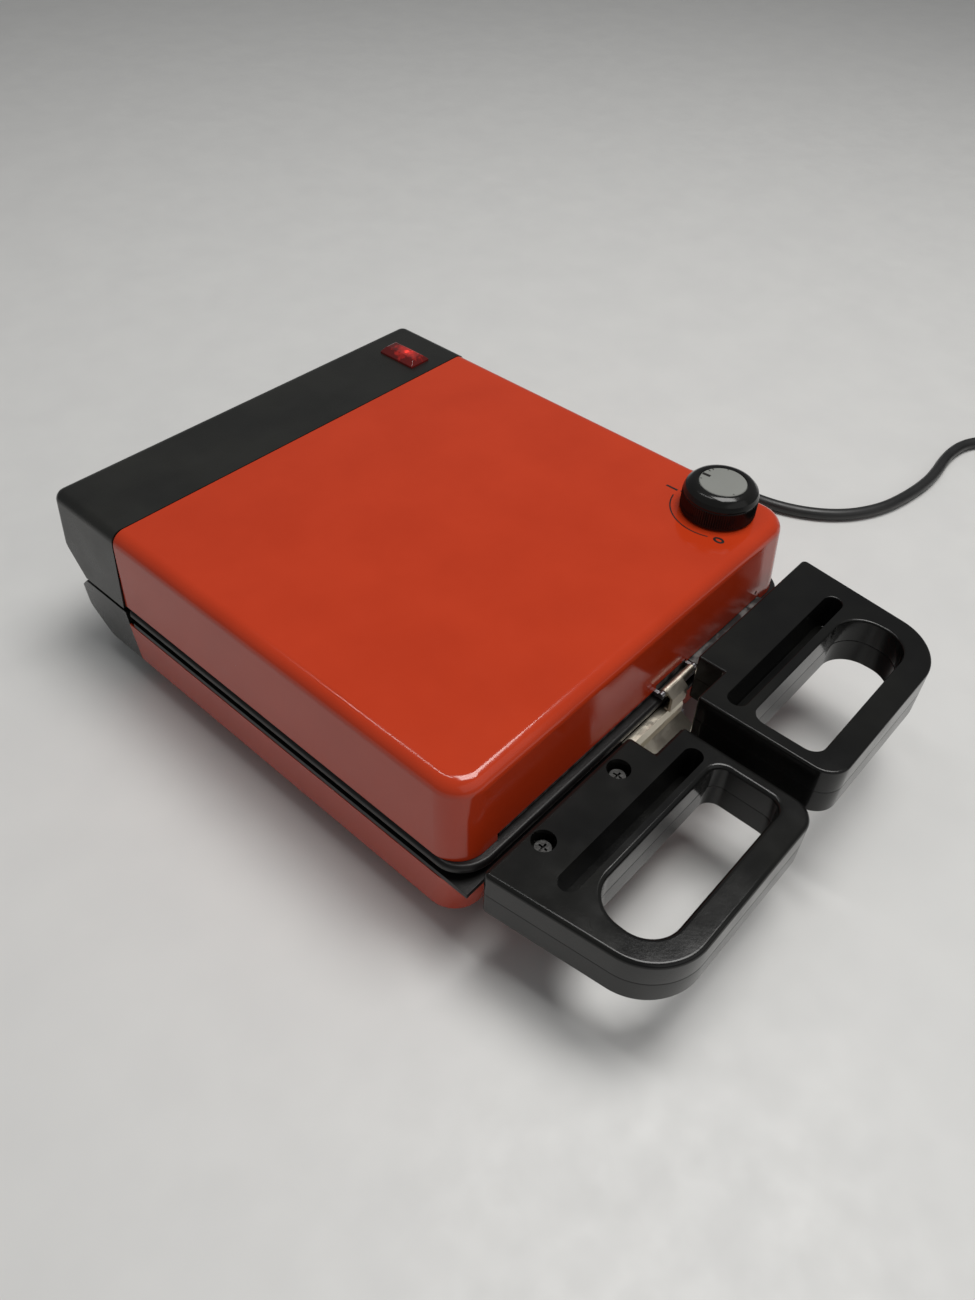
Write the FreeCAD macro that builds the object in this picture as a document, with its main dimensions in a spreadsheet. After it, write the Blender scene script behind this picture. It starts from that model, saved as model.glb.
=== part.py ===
import FreeCAD, Part
import math
import os

import Sketcher

# Two-handled waffle maker in millimetres: +Z up, handles toward -Y, hinge toward +Y.
# The origin is on the table, under the middle of the machine without its cord.

os.makedirs("parts", exist_ok=True)
doc = FreeCAD.newDocument("waffle_maker")
sheet = doc.addObject("Spreadsheet::Sheet", "Sizes")

DRIVING_SIZES = (
    # lid pressing
    ("lid_top", 101.8), ("lid_mouth", 55.5), ("lid_top_half", 130.0), ("lid_mouth_half", 133.75),
    ("lid_front_top", -97.0), ("lid_front_mouth", -100.8),
    ("lid_edge_round", 7.4), ("lid_corner_round", 16.0),
    ("steel_wall", 1.2), ("cutaway_half", 108.0), ("cutaway_top", 59.6),
    # base pressing
    ("pan_top", 43.0), ("pan_floor", 7.5), ("pan_top_half", 133.5), ("pan_floor_half", 131.3),
    ("pan_front_top", -103.5), ("pan_front_floor", -97.0), ("pan_edge_round", 9.0),
    # rear covers and the hinge line between them
    ("cover_split", 143.0), ("split_gap", 0.5), ("cover_wall", 2.4), ("cover_rear", 198.0),
    ("cover_corner_round", 6.0), ("upper_slant_top", 74.0), ("lower_bulge", 193.6),
    ("lower_bulge_height", 37.3), ("lower_chamfer_height", 18.5), ("lower_cover_round", 9.0),
    ("lower_cover_floor", 7.5), ("cover_vertex", 180.0), ("cover_gap", 1.5),
    ("hinge_reach", 181.5), ("hinge_height", 52.7), ("hinge_span", 88.0), ("hinge_pin_radius", 3.0),
    ("hinge_play", 0.05), ("hinge_eye_radius", 6.2), ("ear_thickness", 4.0),
    # cast waffle plates
    ("plate_half", 133.2), ("plate_front", -105.0), ("plate_rear", 138.0), ("lower_rim_top", 46.2),
    ("rim_thickness", 3.0), ("plate_body_inset", 8.0), ("lower_plate_floor", 35.5), ("recess_depth", 3.0),
    ("groove_depth", 3.2), ("groove_width", 7.0), ("groove_pitch", 13.5), ("recess_half", 118.0),
    ("recess_front", -88.0), ("recess_rear", 122.0), ("divider_half", 4.0),
    ("bead_half", 133.8), ("bead_front", -107.0), ("bead_bottom", 50.0), ("bead_top", 55.4),
    ("bead_corner_round", 19.0), ("bead_round", 2.2), ("skirt_bottom", 46.5), ("upper_plate_top", 59.5),
    # handles
    ("handle_rear", -110.0), ("handle_front", -198.0), ("handle_inner", 4.2), ("handle_outer_rear", 130.5),
    ("handle_outer_front", 119.0), ("handle_thickness", 29.0), ("lower_handle_floor", 35.75),
    ("upper_handle_floor", 49.1), ("handle_edge_round", 3.0), ("handle_outer_round", 26.0),
    ("handle_inner_round", 12.0), ("notch_half", 27.0), ("notch_depth", 15.0),
    ("grip_rear", -149.0), ("grip_front", -184.3), ("grip_inner", 11.8), ("grip_outer", 109.5),
    ("grip_outer_round", 16.0), ("grip_inner_round", 7.0),
    ("slot_middle", -139.0), ("slot_half_width", 5.0), ("slot_inner", 12.0), ("slot_outer", 113.5),
    ("slot_depth", 21.0), ("handle_screw_inner", 46.5), ("handle_screw_outer", 100.0),
    ("handle_screw_reach", -118.4), ("screw_recess_radius", 5.75), ("screw_recess_depth", 8.5),
    ("screw_head_radius", 5.1), ("screw_head_height", 3.5), ("screw_shank_radius", 2.5),
    # handle brackets
    ("tongue_thickness", 2.0), ("tongue_front", -131.0), ("lower_tongue", 38.5), ("upper_tongue", 56.9),
    ("tongue_inner", 40.0), ("tongue_outer", 107.5), ("tongue_play", 0.3),
    # thermostat and knob
    ("knob_x", 104.0), ("knob_y", -65.4), ("knob_radius", 20.1), ("knob_shoulder_radius", 14.6),
    ("knob_skirt", 10.5), ("knob_height", 18.1), ("knob_gap", 0.8), ("cap_radius", 12.6),
    ("cap_thickness", 1.2),
    ("shaft_radius", 3.0),
    # pilot light
    ("lens_x", 99.9), ("lens_y", 165.8), ("lens_width", 15.0), ("lens_length", 28.0), ("lens_height", 4.5),
    # plate clips
    ("upper_clip_left", 11.5), ("upper_clip_right", 36.0), ("lower_clip_left", -20.0),
    ("lower_clip_right", 25.0),
    ("clip_pin_radius", 1.5), ("clip_eye_radius", 2.8),
    # heating elements and reflectors
    ("element_radius", 3.4), ("lower_element", 31.4), ("upper_element", 63.6), ("reflector_sheet", 0.8),
    ("lower_reflector", 23.0), ("upper_reflector", 72.5),
    # feet, cord and plug
    ("foot_radius", 10.5), ("foot_tip_radius", 9.0), ("foot_x", 105.0), ("front_foot_y", -68.0),
    ("rear_foot_y", 160.0), ("cord_radius", 4.0), ("gland_x", 95.0), ("gland_height", 24.0),
    ("gland_root", 187.0), ("gland_tip", 224.0), ("gland_radius", 7.6), ("gland_tip_radius", 5.0),
    ("coil_x", 507.2), ("coil_y", -172.0), ("coil_radius", 44.0), ("coil_turn_pitch", 8.4),
    ("plug_length", 40.0), ("plug_width", 26.0), ("plug_thickness", 15.0), ("plug_setback", 6.0),
)


def fill_sheet():
    """Write every driving size into the sheet under its alias."""
    for row, (alias, value) in enumerate(DRIVING_SIZES, start=1):
        sheet.set("A%d" % row, alias.replace("_", " "))
        sheet.set("B%d" % row, str(value))
        sheet.setAlias("B%d" % row, alias)
    doc.recompute()


class Size:
    """A length that holds its number and the sheet expression that it comes from."""

    def __init__(self, number, text):
        self.number = float(number)
        self.text = text

    def __add__(self, other):
        return Size(self.number + number_of(other), "(%s + %s)" % (self.text, text_of(other)))

    def __radd__(self, other):
        return self + other

    def __sub__(self, other):
        return Size(self.number - number_of(other), "(%s - %s)" % (self.text, text_of(other)))

    def __rsub__(self, other):
        return -self + other

    def __mul__(self, other):
        return Size(self.number * number_of(other), "(%s * %s)" % (self.text, text_of(other)))

    def __neg__(self):
        return Size(-self.number, "(0 - %s)" % self.text)


def number_of(value):
    """The plain number behind a Size or a number."""
    return value.number if isinstance(value, Size) else float(value)


def text_of(value):
    """The expression text behind a Size or a number."""
    return value.text if isinstance(value, Size) else "%.4f" % value


def size(alias):
    """The driving size of that name."""
    return Size(getattr(sheet, alias), "Sizes.%s" % alias)


def bind(item, path, value):
    """Tie a property of an object to the sheet."""
    item.setExpression(path, text_of(value))


# Sketches and PartDesign features ---------------------------------------------------------

def new_body(label):
    """An empty body with its own label."""
    body = doc.addObject("PartDesign::Body", label)
    body.Label = label
    return body


def new_sketch(body, role, offset=0):
    """A sketch on one of the body's origin planes, moved along the plane's normal."""
    plane = [item for item in body.Origin.OriginFeatures if item.Role == role][0]
    sketch = body.newObject("Sketcher::SketchObject", "%s_sketch" % body.Name)
    sketch.AttachmentSupport = [(plane, "")]
    sketch.MapMode = "FlatFace"
    bind(sketch, ".AttachmentOffset.Base.z", offset)
    return sketch


def place_point(sketch, geometry, point, x, y):
    """Dimension one point of the sketch from its origin."""
    for kind, value in (("DistanceX", x), ("DistanceY", y)):
        index = sketch.addConstraint(Sketcher.Constraint(kind, -1, 1, geometry, point, number_of(value)))
        if isinstance(value, Size):
            bind(sketch, "Constraints[%d]" % index, value)


def outline(sketch, corners):
    """A closed outline of straight lines through the given corners."""
    first = sketch.GeometryCount
    points = [FreeCAD.Vector(number_of(x), number_of(y), 0) for x, y in corners]
    count = len(points)
    for index in range(count):
        sketch.addGeometry(Part.LineSegment(points[index], points[(index + 1) % count]), False)
    for index in range(count):
        following = first + (index + 1) % count
        sketch.addConstraint(Sketcher.Constraint("Coincident", first + index, 2, following, 1))
    for index, (x, y) in enumerate(corners):
        place_point(sketch, first + index, 1, x, y)


def rectangle(sketch, left, right, front, rear):
    """A closed rectangle between four lines."""
    outline(sketch, ((left, front), (right, front), (right, rear), (left, rear)))


def grow(body, kind, sketch, length, backwards=False):
    """A Pad or Pocket of the sketch, checked to have changed the body's volume the right way."""
    doc.recompute()
    before = body.Shape.Volume if body.Tip else 0.0
    feature = body.newObject("PartDesign::%s" % kind, "%s_%s" % (body.Name, kind.lower()))
    feature.Profile = sketch
    feature.Type = 0
    bind(feature, "Length", length)
    feature.Reversed = backwards
    body.Tip = feature
    doc.recompute()
    change = body.Shape.Volume - before
    wrong = change <= 0 if kind == "Pad" else change >= 0
    if wrong:
        raise RuntimeError("%s on %s changed nothing" % (kind, body.Label))
    return feature


def round_edges(body, radius, wanted):
    """Round the edges of the body's tip that the test picks."""
    doc.recompute()
    tip = body.Tip
    names = ["Edge%d" % (n + 1) for n, edge in enumerate(tip.Shape.Edges) if wanted(edge)]
    if not names:
        raise RuntimeError("no edges to round on %s" % body.Label)
    feature = body.newObject("PartDesign::Fillet", "%s_fillet" % body.Name)
    feature.Base = (tip, names)
    bind(feature, "Radius", radius)
    body.Tip = feature
    doc.recompute()
    if not feature.Shape.isValid() or "Invalid" in feature.State:
        raise RuntimeError("the rounded edges on %s failed" % body.Label)
    return feature


def repeat(body, feature, role, length, count):
    """Repeat a feature along one of the body's origin axes."""
    axis = [item for item in body.Origin.OriginFeatures if item.Role == role][0]
    pattern = body.newObject("PartDesign::LinearPattern", "%s_pattern" % body.Name)
    pattern.Originals = [feature]
    pattern.Direction = (axis, [""])
    pattern.Length = number_of(length)
    bind(pattern, "Length", length)
    pattern.Occurrences = count
    body.Tip = pattern
    doc.recompute()
    return pattern


def runs_along(edge, axis):
    """True for a nearly straight edge along X, Y or Z (axis 0, 1 or 2), draft allowed."""
    start, end = edge.Vertexes[0].Point, edge.Vertexes[-1].Point
    step = end - start
    return step.Length > 1e-3 and abs(step[axis]) > 0.9 * step.Length


def is_near(value, target, margin=0.6):
    """True where a coordinate is at a wanted place."""
    return abs(value - number_of(target)) < margin


# Part primitives --------------------------------------------------------------------------

def block(name, x, y, z, length, width, height):
    """A box with its lowest corner at x, y, z."""
    item = doc.addObject("Part::Box", name)
    for path, value in (("Length", length), ("Width", width), ("Height", height), ("Placement.Base.x", x),
                        ("Placement.Base.y", y), ("Placement.Base.z", z)):
        bind(item, path, value)
    return item


TURNS = {"X": FreeCAD.Rotation(FreeCAD.Vector(0, 1, 0), 90),
         "Y": FreeCAD.Rotation(FreeCAD.Vector(1, 0, 0), -90),
         "Z": FreeCAD.Rotation()}


def rod(name, x, y, z, radius, height, along="Z", tip_radius=None):
    """A cylinder, or a cone when it has a tip radius, that starts at x, y, z and runs along an axis."""
    item = doc.addObject("Part::Cone" if tip_radius else "Part::Cylinder", name)
    item.Placement = FreeCAD.Placement(FreeCAD.Vector(), TURNS[along])
    bind(item, "Height", height)
    if tip_radius:
        bind(item, "Radius1", radius)
        bind(item, "Radius2", tip_radius)
    else:
        bind(item, "Radius", radius)
    for path, value in (("Placement.Base.x", x), ("Placement.Base.y", y), ("Placement.Base.z", z)):
        bind(item, path, value)
    return item


def fuse(name, pieces):
    """One object made of several pieces."""
    item = doc.addObject("Part::MultiFuse", name)
    item.Shapes = pieces
    item.Refine = True
    return item


def cut(name, base, tools):
    """The base with the tools cut away."""
    item = doc.addObject("Part::Cut", name)
    item.Base = base
    item.Tool = tools[0] if len(tools) == 1 else fuse("%s_cutters" % name, tools)
    item.Refine = True
    return item


def finished(label, item):
    """Name a finished sub-part and remember it."""
    item.Label = label
    SUB_PARTS[label] = item
    return item


SUB_PARTS = {}
fill_sheet()


# Pressed shells and moulded covers --------------------------------------------------------

def drafted_block(name, low, high, low_half, high_half, low_front, high_front, rear):
    """A block with drafted sides and front and a plane rear, between two heights."""
    body = new_body(name)
    start = low_front if low_front.number < high_front.number else high_front
    section = new_sketch(body, "XZ_Plane", -start)
    outline(section, ((-low_half, low), (low_half, low), (high_half, high), (-high_half, high)))
    grow(body, "Pad", section, rear - start, backwards=True)
    if abs(low_front.number - high_front.number) > 0.01:
        trim_side(body, ((start - 1, low), (low_front, low), (high_front, high), (start - 1, high)))
    return body


def trim_side(body, corners):
    """Cut away a side-view outline right across the body."""
    reach = size("lid_mouth_half") + 5
    wedge = new_sketch(body, "YZ_Plane", -reach)
    outline(wedge, corners)
    grow(body, "Pocket", wedge, reach * 2, backwards=True)


def lid_block(name, inset, low, rear):
    """The lid pressing's outline, moved inward by the inset."""
    body = drafted_block(name, low, size("lid_top") - inset, size("lid_mouth_half") - inset,
                         size("lid_top_half") - inset, size("lid_front_mouth") + inset,
                         size("lid_front_top") + inset, rear)
    round_edges(body, size("lid_corner_round") - inset,
                lambda edge: runs_along(edge, 2) and edge.CenterOfMass.y < 0)
    top = number_of(size("lid_top") - inset)
    split = number_of(rear)
    round_edges(body, size("lid_edge_round") - inset,
                lambda edge: is_near(edge.CenterOfMass.z, top, 0.1) and edge.CenterOfMass.y < split - 1)
    return body


def make_upper_shell():
    """Red enamelled steel pressing: lid top, sides and front, cut away low at the front."""
    rear = size("cover_split") - size("split_gap")
    outer = lid_block("upper_shell_outer", Size(0, "0"), size("lid_mouth"), rear)
    inner = lid_block("upper_shell_inner", size("steel_wall"), size("lid_mouth") - 1, rear + 5)
    front = size("lid_front_mouth") - 3
    cutaway = block("upper_shell_cutaway", -size("cutaway_half"), front, size("lid_mouth") - 2,
                    size("cutaway_half") * 2, 12, size("cutaway_top") - size("lid_mouth") + 2)
    clip_width = size("upper_clip_right") - size("upper_clip_left") + 2
    notch = block("upper_shell_notch", size("upper_clip_left") - 1, front, size("cutaway_top") - 1,
                  clip_width, 12, 3.4)
    shaft_hole = rod("upper_shell_shaft_hole", size("knob_x"), size("knob_y"), size("lid_top") - 5, 5, 10)
    finished("upper_shell", cut("upper_shell", outer, [inner, cutaway, notch, shaft_hole]))


def make_lower_shell():
    """Red enamelled steel pressing: base pan, open at the top and rear."""
    rear = size("cover_split") - size("split_gap")
    blocks = []
    for name, inset, top, back in (("lower_shell_outer", Size(0, "0"), size("pan_top"), rear),
                                   ("lower_shell_inner", size("steel_wall"), size("pan_top") + 2, rear + 5)):
        body = drafted_block(name, size("pan_floor") + inset, top, size("pan_floor_half") - inset,
                             size("pan_top_half") - inset, size("pan_front_floor") + inset,
                             size("pan_front_top") + inset, back)
        round_edges(body, size("lid_corner_round") - inset,
                    lambda edge: runs_along(edge, 2) and edge.CenterOfMass.y < 0)
        floor = number_of(size("pan_floor") + inset)
        split = number_of(back)
        round_edges(body, size("pan_edge_round") - inset,
                    lambda edge: is_near(edge.CenterOfMass.z, floor, 0.1) and edge.CenterOfMass.y < split - 1)
        blocks.append(body)
    play = size("tongue_play")
    slit = block("lower_shell_slit", -size("tongue_outer") - play, size("pan_front_top") - 5,
                 size("lower_tongue") - play, size("tongue_outer") - size("tongue_inner") + play * 2, 20,
                 size("tongue_thickness") + play * 2)
    finished("lower_shell", cut("lower_shell", blocks[0], [blocks[1], slit]))


def hinge_cutouts(name, low, height):
    """Clearances in a rear cover for the hinge ears on both sides."""
    tools = []
    width = size("ear_thickness") * 2 + 3
    for side, left in (("right", size("hinge_span") - 6), ("left", -size("hinge_span") + 6 - width)):
        tools.append(block("%s_%s" % (name, side), left, size("cover_vertex") - 14, low, width, 30, height))
    return tools


def make_upper_rear_cover():
    """Black moulded cover that closes the lid's rear, with a slanted lower back."""
    pair = []
    for name, inset, front in (("upper_cover_outer", Size(0, "0"), size("cover_split")),
                               ("upper_cover_inner", size("cover_wall"), size("cover_split") - 5)):
        low = size("hinge_height") + size("cover_gap") + inset
        rear = size("cover_rear") - inset
        half_low, half_high = size("lid_mouth_half") - inset, size("lid_top_half") - inset
        body = drafted_block(name, low, size("lid_top") - inset, half_low, half_high, front, front, rear)
        round_edges(body, size("cover_corner_round") - inset,
                    lambda edge: runs_along(edge, 2) and edge.CenterOfMass.y > 190)
        ceiling = number_of(size("lid_top") - inset)
        start = number_of(front)
        round_edges(body, size("lid_edge_round") - inset,
                    lambda edge: is_near(edge.CenterOfMass.z, ceiling, 0.1)
                    and edge.CenterOfMass.y > start + 1)
        vertex = size("cover_vertex") - inset
        trim_side(body, ((vertex, low - 1), (vertex, low), (rear, size("upper_slant_top")),
                         (rear + 10, size("upper_slant_top")), (rear + 10, low - 1)))
        pair.append(body)
    low_cut = size("hinge_height") - 1
    tools = [pair[1]] + hinge_cutouts("upper_cover_ear_slot", low_cut, 12)
    tools.append(block("upper_cover_lamp_hole", size("lens_x") - size("lens_width") * 0.5 + 1.5,
                       size("lens_y") - size("lens_length") * 0.5 + 1.5, size("lid_top") - 6,
                       size("lens_width") - 3, size("lens_length") - 3, 10))
    finished("upper_rear_cover", cut("upper_rear_cover", pair[0], tools))


def make_lower_rear_cover():
    """Black moulded cover that closes the base's rear, bulging below the hinge line."""
    pair = []
    for name, inset, front in (("lower_cover_outer", Size(0, "0"), size("cover_split")),
                               ("lower_cover_inner", size("cover_wall"), size("cover_split") - 5)):
        top = size("hinge_height") - size("cover_gap") - inset
        floor = size("lower_cover_floor") + inset
        vertex = size("cover_vertex") - inset
        bulge = size("lower_bulge") - inset
        body = drafted_block(name, floor, top, size("pan_floor_half") - inset,
                             size("pan_top_half") - inset, front, front, bulge)
        trim_side(body, ((vertex, top + 1), (vertex, top), (bulge, size("lower_bulge_height")),
                         (bulge - 5, size("lower_chamfer_height")), (size("cover_vertex") - 6, floor),
                         (size("cover_vertex") - 6, floor - 1), (bulge + 10, floor - 1),
                         (bulge + 10, top + 1)))
        bottom = number_of(floor)
        round_edges(body, size("lower_cover_round") - inset,
                    lambda edge: not runs_along(edge, 0)
                    and (edge.CenterOfMass.y > 180
                         or is_near(edge.CenterOfMass.z, bottom, 0.1) and runs_along(edge, 1)))
        pair.append(body)
    tools = [pair[1]] + hinge_cutouts("lower_cover_ear_slot", size("hinge_height") - 11, 12)
    tools.append(rod("lower_cover_gland_hole", size("gland_x"), size("gland_root") - 8, size("gland_height"),
                     size("gland_radius") - 1.5, 20, "Y"))
    finished("lower_rear_cover", cut("lower_rear_cover", pair[0], tools))


# Cast waffle plates -----------------------------------------------------------------------

def waffle_grid(body, face, down):
    """Two recessed halves with crossing grooves, cut from the face into the plate."""
    edge, middle = size("recess_half"), size("divider_half")
    front, rear = size("recess_front"), size("recess_rear")
    recess = new_sketch(body, "XY_Plane", face)
    rectangle(recess, middle, edge, front, rear)
    rectangle(recess, -edge, -middle, front, rear)
    grow(body, "Pocket", recess, size("recess_depth"), backwards=not down)
    depth = size("recess_depth") + size("groove_depth")
    width, pitch = size("groove_width"), size("groove_pitch")
    inset = 3.5
    rows = int((rear.number - front.number - 2 * inset) / pitch.number)
    across = new_sketch(body, "XY_Plane", face)
    rectangle(across, middle + inset, edge - inset, front + inset, front + inset + width)
    rectangle(across, -edge + inset, -middle - inset, front + inset, front + inset + width)
    first = grow(body, "Pocket", across, depth, backwards=not down)
    repeat(body, first, "Y_Axis", pitch * (rows - 1), rows)
    columns = int((edge.number - middle.number - 2 * inset) / pitch.number)
    last_rear = front + inset + pitch * (rows - 1) + width
    along = new_sketch(body, "XY_Plane", face)
    rectangle(along, middle + inset, middle + inset + width, front + inset, last_rear)
    rectangle(along, -edge + inset, -edge + inset + width, front + inset, last_rear)
    second = grow(body, "Pocket", along, depth, backwards=not down)
    repeat(body, second, "X_Axis", pitch * (columns - 1), columns)


def make_lower_waffle_plate():
    """Cast aluminium plate with a flat square-cornered rim and a recessed grid."""
    body = new_body("lower_waffle_plate")
    half, inset = size("plate_half"), size("plate_body_inset")
    top = size("lower_rim_top")
    rim = new_sketch(body, "XY_Plane", top - size("rim_thickness"))
    rectangle(rim, -half, half, size("plate_front"), size("plate_rear"))
    grow(body, "Pad", rim, size("rim_thickness"))
    core = new_sketch(body, "XY_Plane", size("lower_plate_floor"))
    rectangle(core, -half + inset, half - inset, size("plate_front") + inset + 2, size("plate_rear") - inset)
    grow(body, "Pad", core, top - size("rim_thickness") - size("lower_plate_floor"))
    waffle_grid(body, top, True)
    finished("lower_waffle_plate", body)


def make_upper_waffle_plate():
    """Cast aluminium plate with a rounded, beaded rim and a facing grid."""
    body = new_body("upper_waffle_plate")
    half, inset = size("bead_half"), size("plate_body_inset")
    rim = new_sketch(body, "XY_Plane", size("bead_bottom"))
    rectangle(rim, -half, half, size("bead_front"), size("plate_rear"))
    grow(body, "Pad", rim, size("bead_top") - size("bead_bottom"))
    round_edges(body, size("bead_corner_round"), lambda edge: runs_along(edge, 2) and edge.CenterOfMass.y < 0)
    round_edges(body, size("bead_round"),
                lambda edge: edge.CenterOfMass.y < 137 and not runs_along(edge, 2)
                and (is_near(edge.CenterOfMass.z, size("bead_bottom"), 0.1)
                     or is_near(edge.CenterOfMass.z, size("bead_top"), 0.1)))
    core = new_sketch(body, "XY_Plane", size("skirt_bottom"))
    rectangle(core, -half + inset, half - inset, size("bead_front") + inset + 4, size("plate_rear") - inset)
    grow(body, "Pad", core, size("upper_plate_top") - size("skirt_bottom"))
    waffle_grid(body, size("skirt_bottom"), False)
    finished("upper_waffle_plate", body)


# Handles, their brackets and screws -------------------------------------------------------

def make_handle(label, side, floor, tongue, recess_on_top):
    """Bakelite loop handle: mounting pad, blind cross slot and finger hole."""
    body = new_body(label)
    rear, front = size("handle_rear"), size("handle_front")
    inner, notch = size("handle_inner"), size("notch_half")
    notch_front = rear - size("notch_depth")
    plan = new_sketch(body, "XY_Plane", floor)
    outline(plan, ((notch * side, rear), (size("handle_outer_rear") * side, rear),
                   (size("handle_outer_front") * side, front), (inner * side, front),
                   (inner * side, notch_front), (notch * side, notch_front)))
    grow(body, "Pad", plan, size("handle_thickness"))
    middle = 0.5 * (inner.number + size("handle_outer_front").number)
    for radius, low, high in (("handle_outer_round", middle, 200), ("handle_inner_round", 0, middle)):
        round_edges(body, size(radius),
                    lambda edge, low=low, high=high: runs_along(edge, 2) and edge.CenterOfMass.y < -190
                    and low < edge.CenterOfMass.x * side < high)
    round_edges(body, size("handle_edge_round"),
                lambda edge: runs_along(edge, 2) and edge.CenterOfMass.y > -111
                and edge.CenterOfMass.x * side > 100)
    levels = (floor.number, (floor + size("handle_thickness")).number)
    round_edges(body, size("handle_edge_round"),
                lambda edge: not runs_along(edge, 2)
                and any(is_near(edge.CenterOfMass.z, z, 0.1) for z in levels)
                and not edge.CenterOfMass.y > -111 and not notched(edge, side))
    grip = new_body("%s_grip" % label)
    loop = new_sketch(grip, "XY_Plane", floor - 2)
    grip_rear, grip_front = size("grip_rear"), size("grip_front")
    outline(loop, ((size("grip_inner") * side, grip_rear), (size("grip_outer") * side, grip_rear),
                   (size("grip_outer") * side, grip_front), (size("grip_inner") * side, grip_front)))
    grow(grip, "Pad", loop, size("handle_thickness") + 4)
    for radius, low, high in (("grip_outer_round", 60, 200), ("grip_inner_round", 0, 60)):
        round_edges(grip, size(radius),
                    lambda edge, low=low, high=high: runs_along(edge, 2)
                    and low < edge.CenterOfMass.x * side < high)
    top = floor + size("handle_thickness")
    half_width = size("slot_half_width")
    start = size("slot_inner") + half_width if side > 0 else -size("slot_outer") + half_width
    length = size("slot_outer") - size("slot_inner") - half_width * 2
    slot_floor = top - size("slot_depth")
    tools = [grip, block("%s_slot" % label, start, size("slot_middle") - half_width, slot_floor, length,
                         half_width * 2, size("slot_depth") + 2)]
    for index, x in enumerate((start, start + length)):
        tools.append(rod("%s_slot_end_%d" % (label, index), x, size("slot_middle"), slot_floor, half_width,
                         size("slot_depth") + 2))
    play = size("tongue_play")
    tongue_left = size("tongue_inner") - play if side > 0 else -size("tongue_outer") - play
    tools.append(block("%s_pocket" % label, tongue_left, size("tongue_front") - play, tongue - play,
                       size("tongue_outer") - size("tongue_inner") + play * 2, 30,
                       size("tongue_thickness") + play * 2))
    for index, x in enumerate((size("handle_screw_inner"), size("handle_screw_outer"))):
        place = (x * side, size("handle_screw_reach"))
        recess_low = top - size("screw_recess_depth") if recess_on_top else floor - 1
        recess = size("screw_recess_depth") + 1 if recess_on_top else tongue - floor - 2
        tools.append(rod("%s_recess_%d" % (label, index), place[0], place[1], recess_low,
                         size("screw_recess_radius"), recess))
        tools.append(rod("%s_bore_%d" % (label, index), place[0], place[1], floor + 1,
                         size("screw_shank_radius") + 0.1, size("handle_thickness") * 0.8 if recess_on_top
                         else tongue - floor + 8))
    finished(label, cut("%s_loop" % label, body, tools))


def notched(edge, side):
    """True for the edges of the notch at a handle's inner rear corner, which stay sharp."""
    centre = edge.CenterOfMass
    limit = number_of(size("handle_rear") - size("notch_depth")) - 1
    return centre.y > limit and centre.x * side < number_of(size("notch_half")) + 1


def make_handle_bracket(label, side, tongue, rail_front, rail_floor, rail_height):
    """Steel rail along the front wall with a tongue that reaches into the handle."""
    left = size("tongue_inner") if side > 0 else -size("tongue_outer")
    arm = block("%s_tongue" % label, left, size("tongue_front"), tongue,
                size("tongue_outer") - size("tongue_inner"), rail_front - size("tongue_front") + 2,
                size("tongue_thickness"))
    rail = block("%s_rail" % label, -size("cutaway_half") + 2, rail_front, rail_floor,
                 size("cutaway_half") * 2 - 4, 2.4, rail_height)
    holes = [rod("%s_hole_%d" % (label, index), x * side, size("handle_screw_reach"), tongue - 1,
                 size("screw_shank_radius"), size("tongue_thickness") + 2)
             for index, x in enumerate((size("handle_screw_inner"), size("handle_screw_outer")))]
    finished(label, cut("%s_holed" % label, fuse("%s_bent" % label, [arm, rail]), holes))


def make_handle_screws(label, side, head_face, head_up, tip):
    """Two recessed pan-head screws that hold a handle on its tongue."""
    screws = []
    for index, x in enumerate((size("handle_screw_inner"), size("handle_screw_outer"))):
        place = (x * side, size("handle_screw_reach"))
        name = "%s_%d" % (label, index)
        if head_up:
            head = rod("%s_head" % name, place[0], place[1], head_face, size("screw_head_radius"),
                       size("screw_head_height"), tip_radius=size("screw_head_radius") - 1.2)
            shank = rod("%s_shank" % name, place[0], place[1], tip, size("screw_shank_radius"),
                        head_face - tip)
            drive_floor = head_face + size("screw_head_height") - 1.8
        else:
            head = rod("%s_head" % name, place[0], place[1], head_face - size("screw_head_height"),
                       size("screw_head_radius") - 1.2, size("screw_head_height"),
                       tip_radius=size("screw_head_radius"))
            shank = rod("%s_shank" % name, place[0], place[1], head_face, size("screw_shank_radius"),
                        tip - head_face)
            drive_floor = head_face - size("screw_head_height") - 1
        cross = [block("%s_drive_a" % name, place[0] - 2.4, place[1] - 0.5, drive_floor, 4.8, 1, 2.8),
                 block("%s_drive_b" % name, place[0] - 0.5, place[1] - 2.4, drive_floor, 1, 4.8, 2.8)]
        screws.append(cut("%s_cut" % name, fuse("%s_whole" % name, [head, shank]), cross))
    finished(label, fuse("%s_pair" % label, screws))


# Hinge ------------------------------------------------------------------------------------

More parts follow.
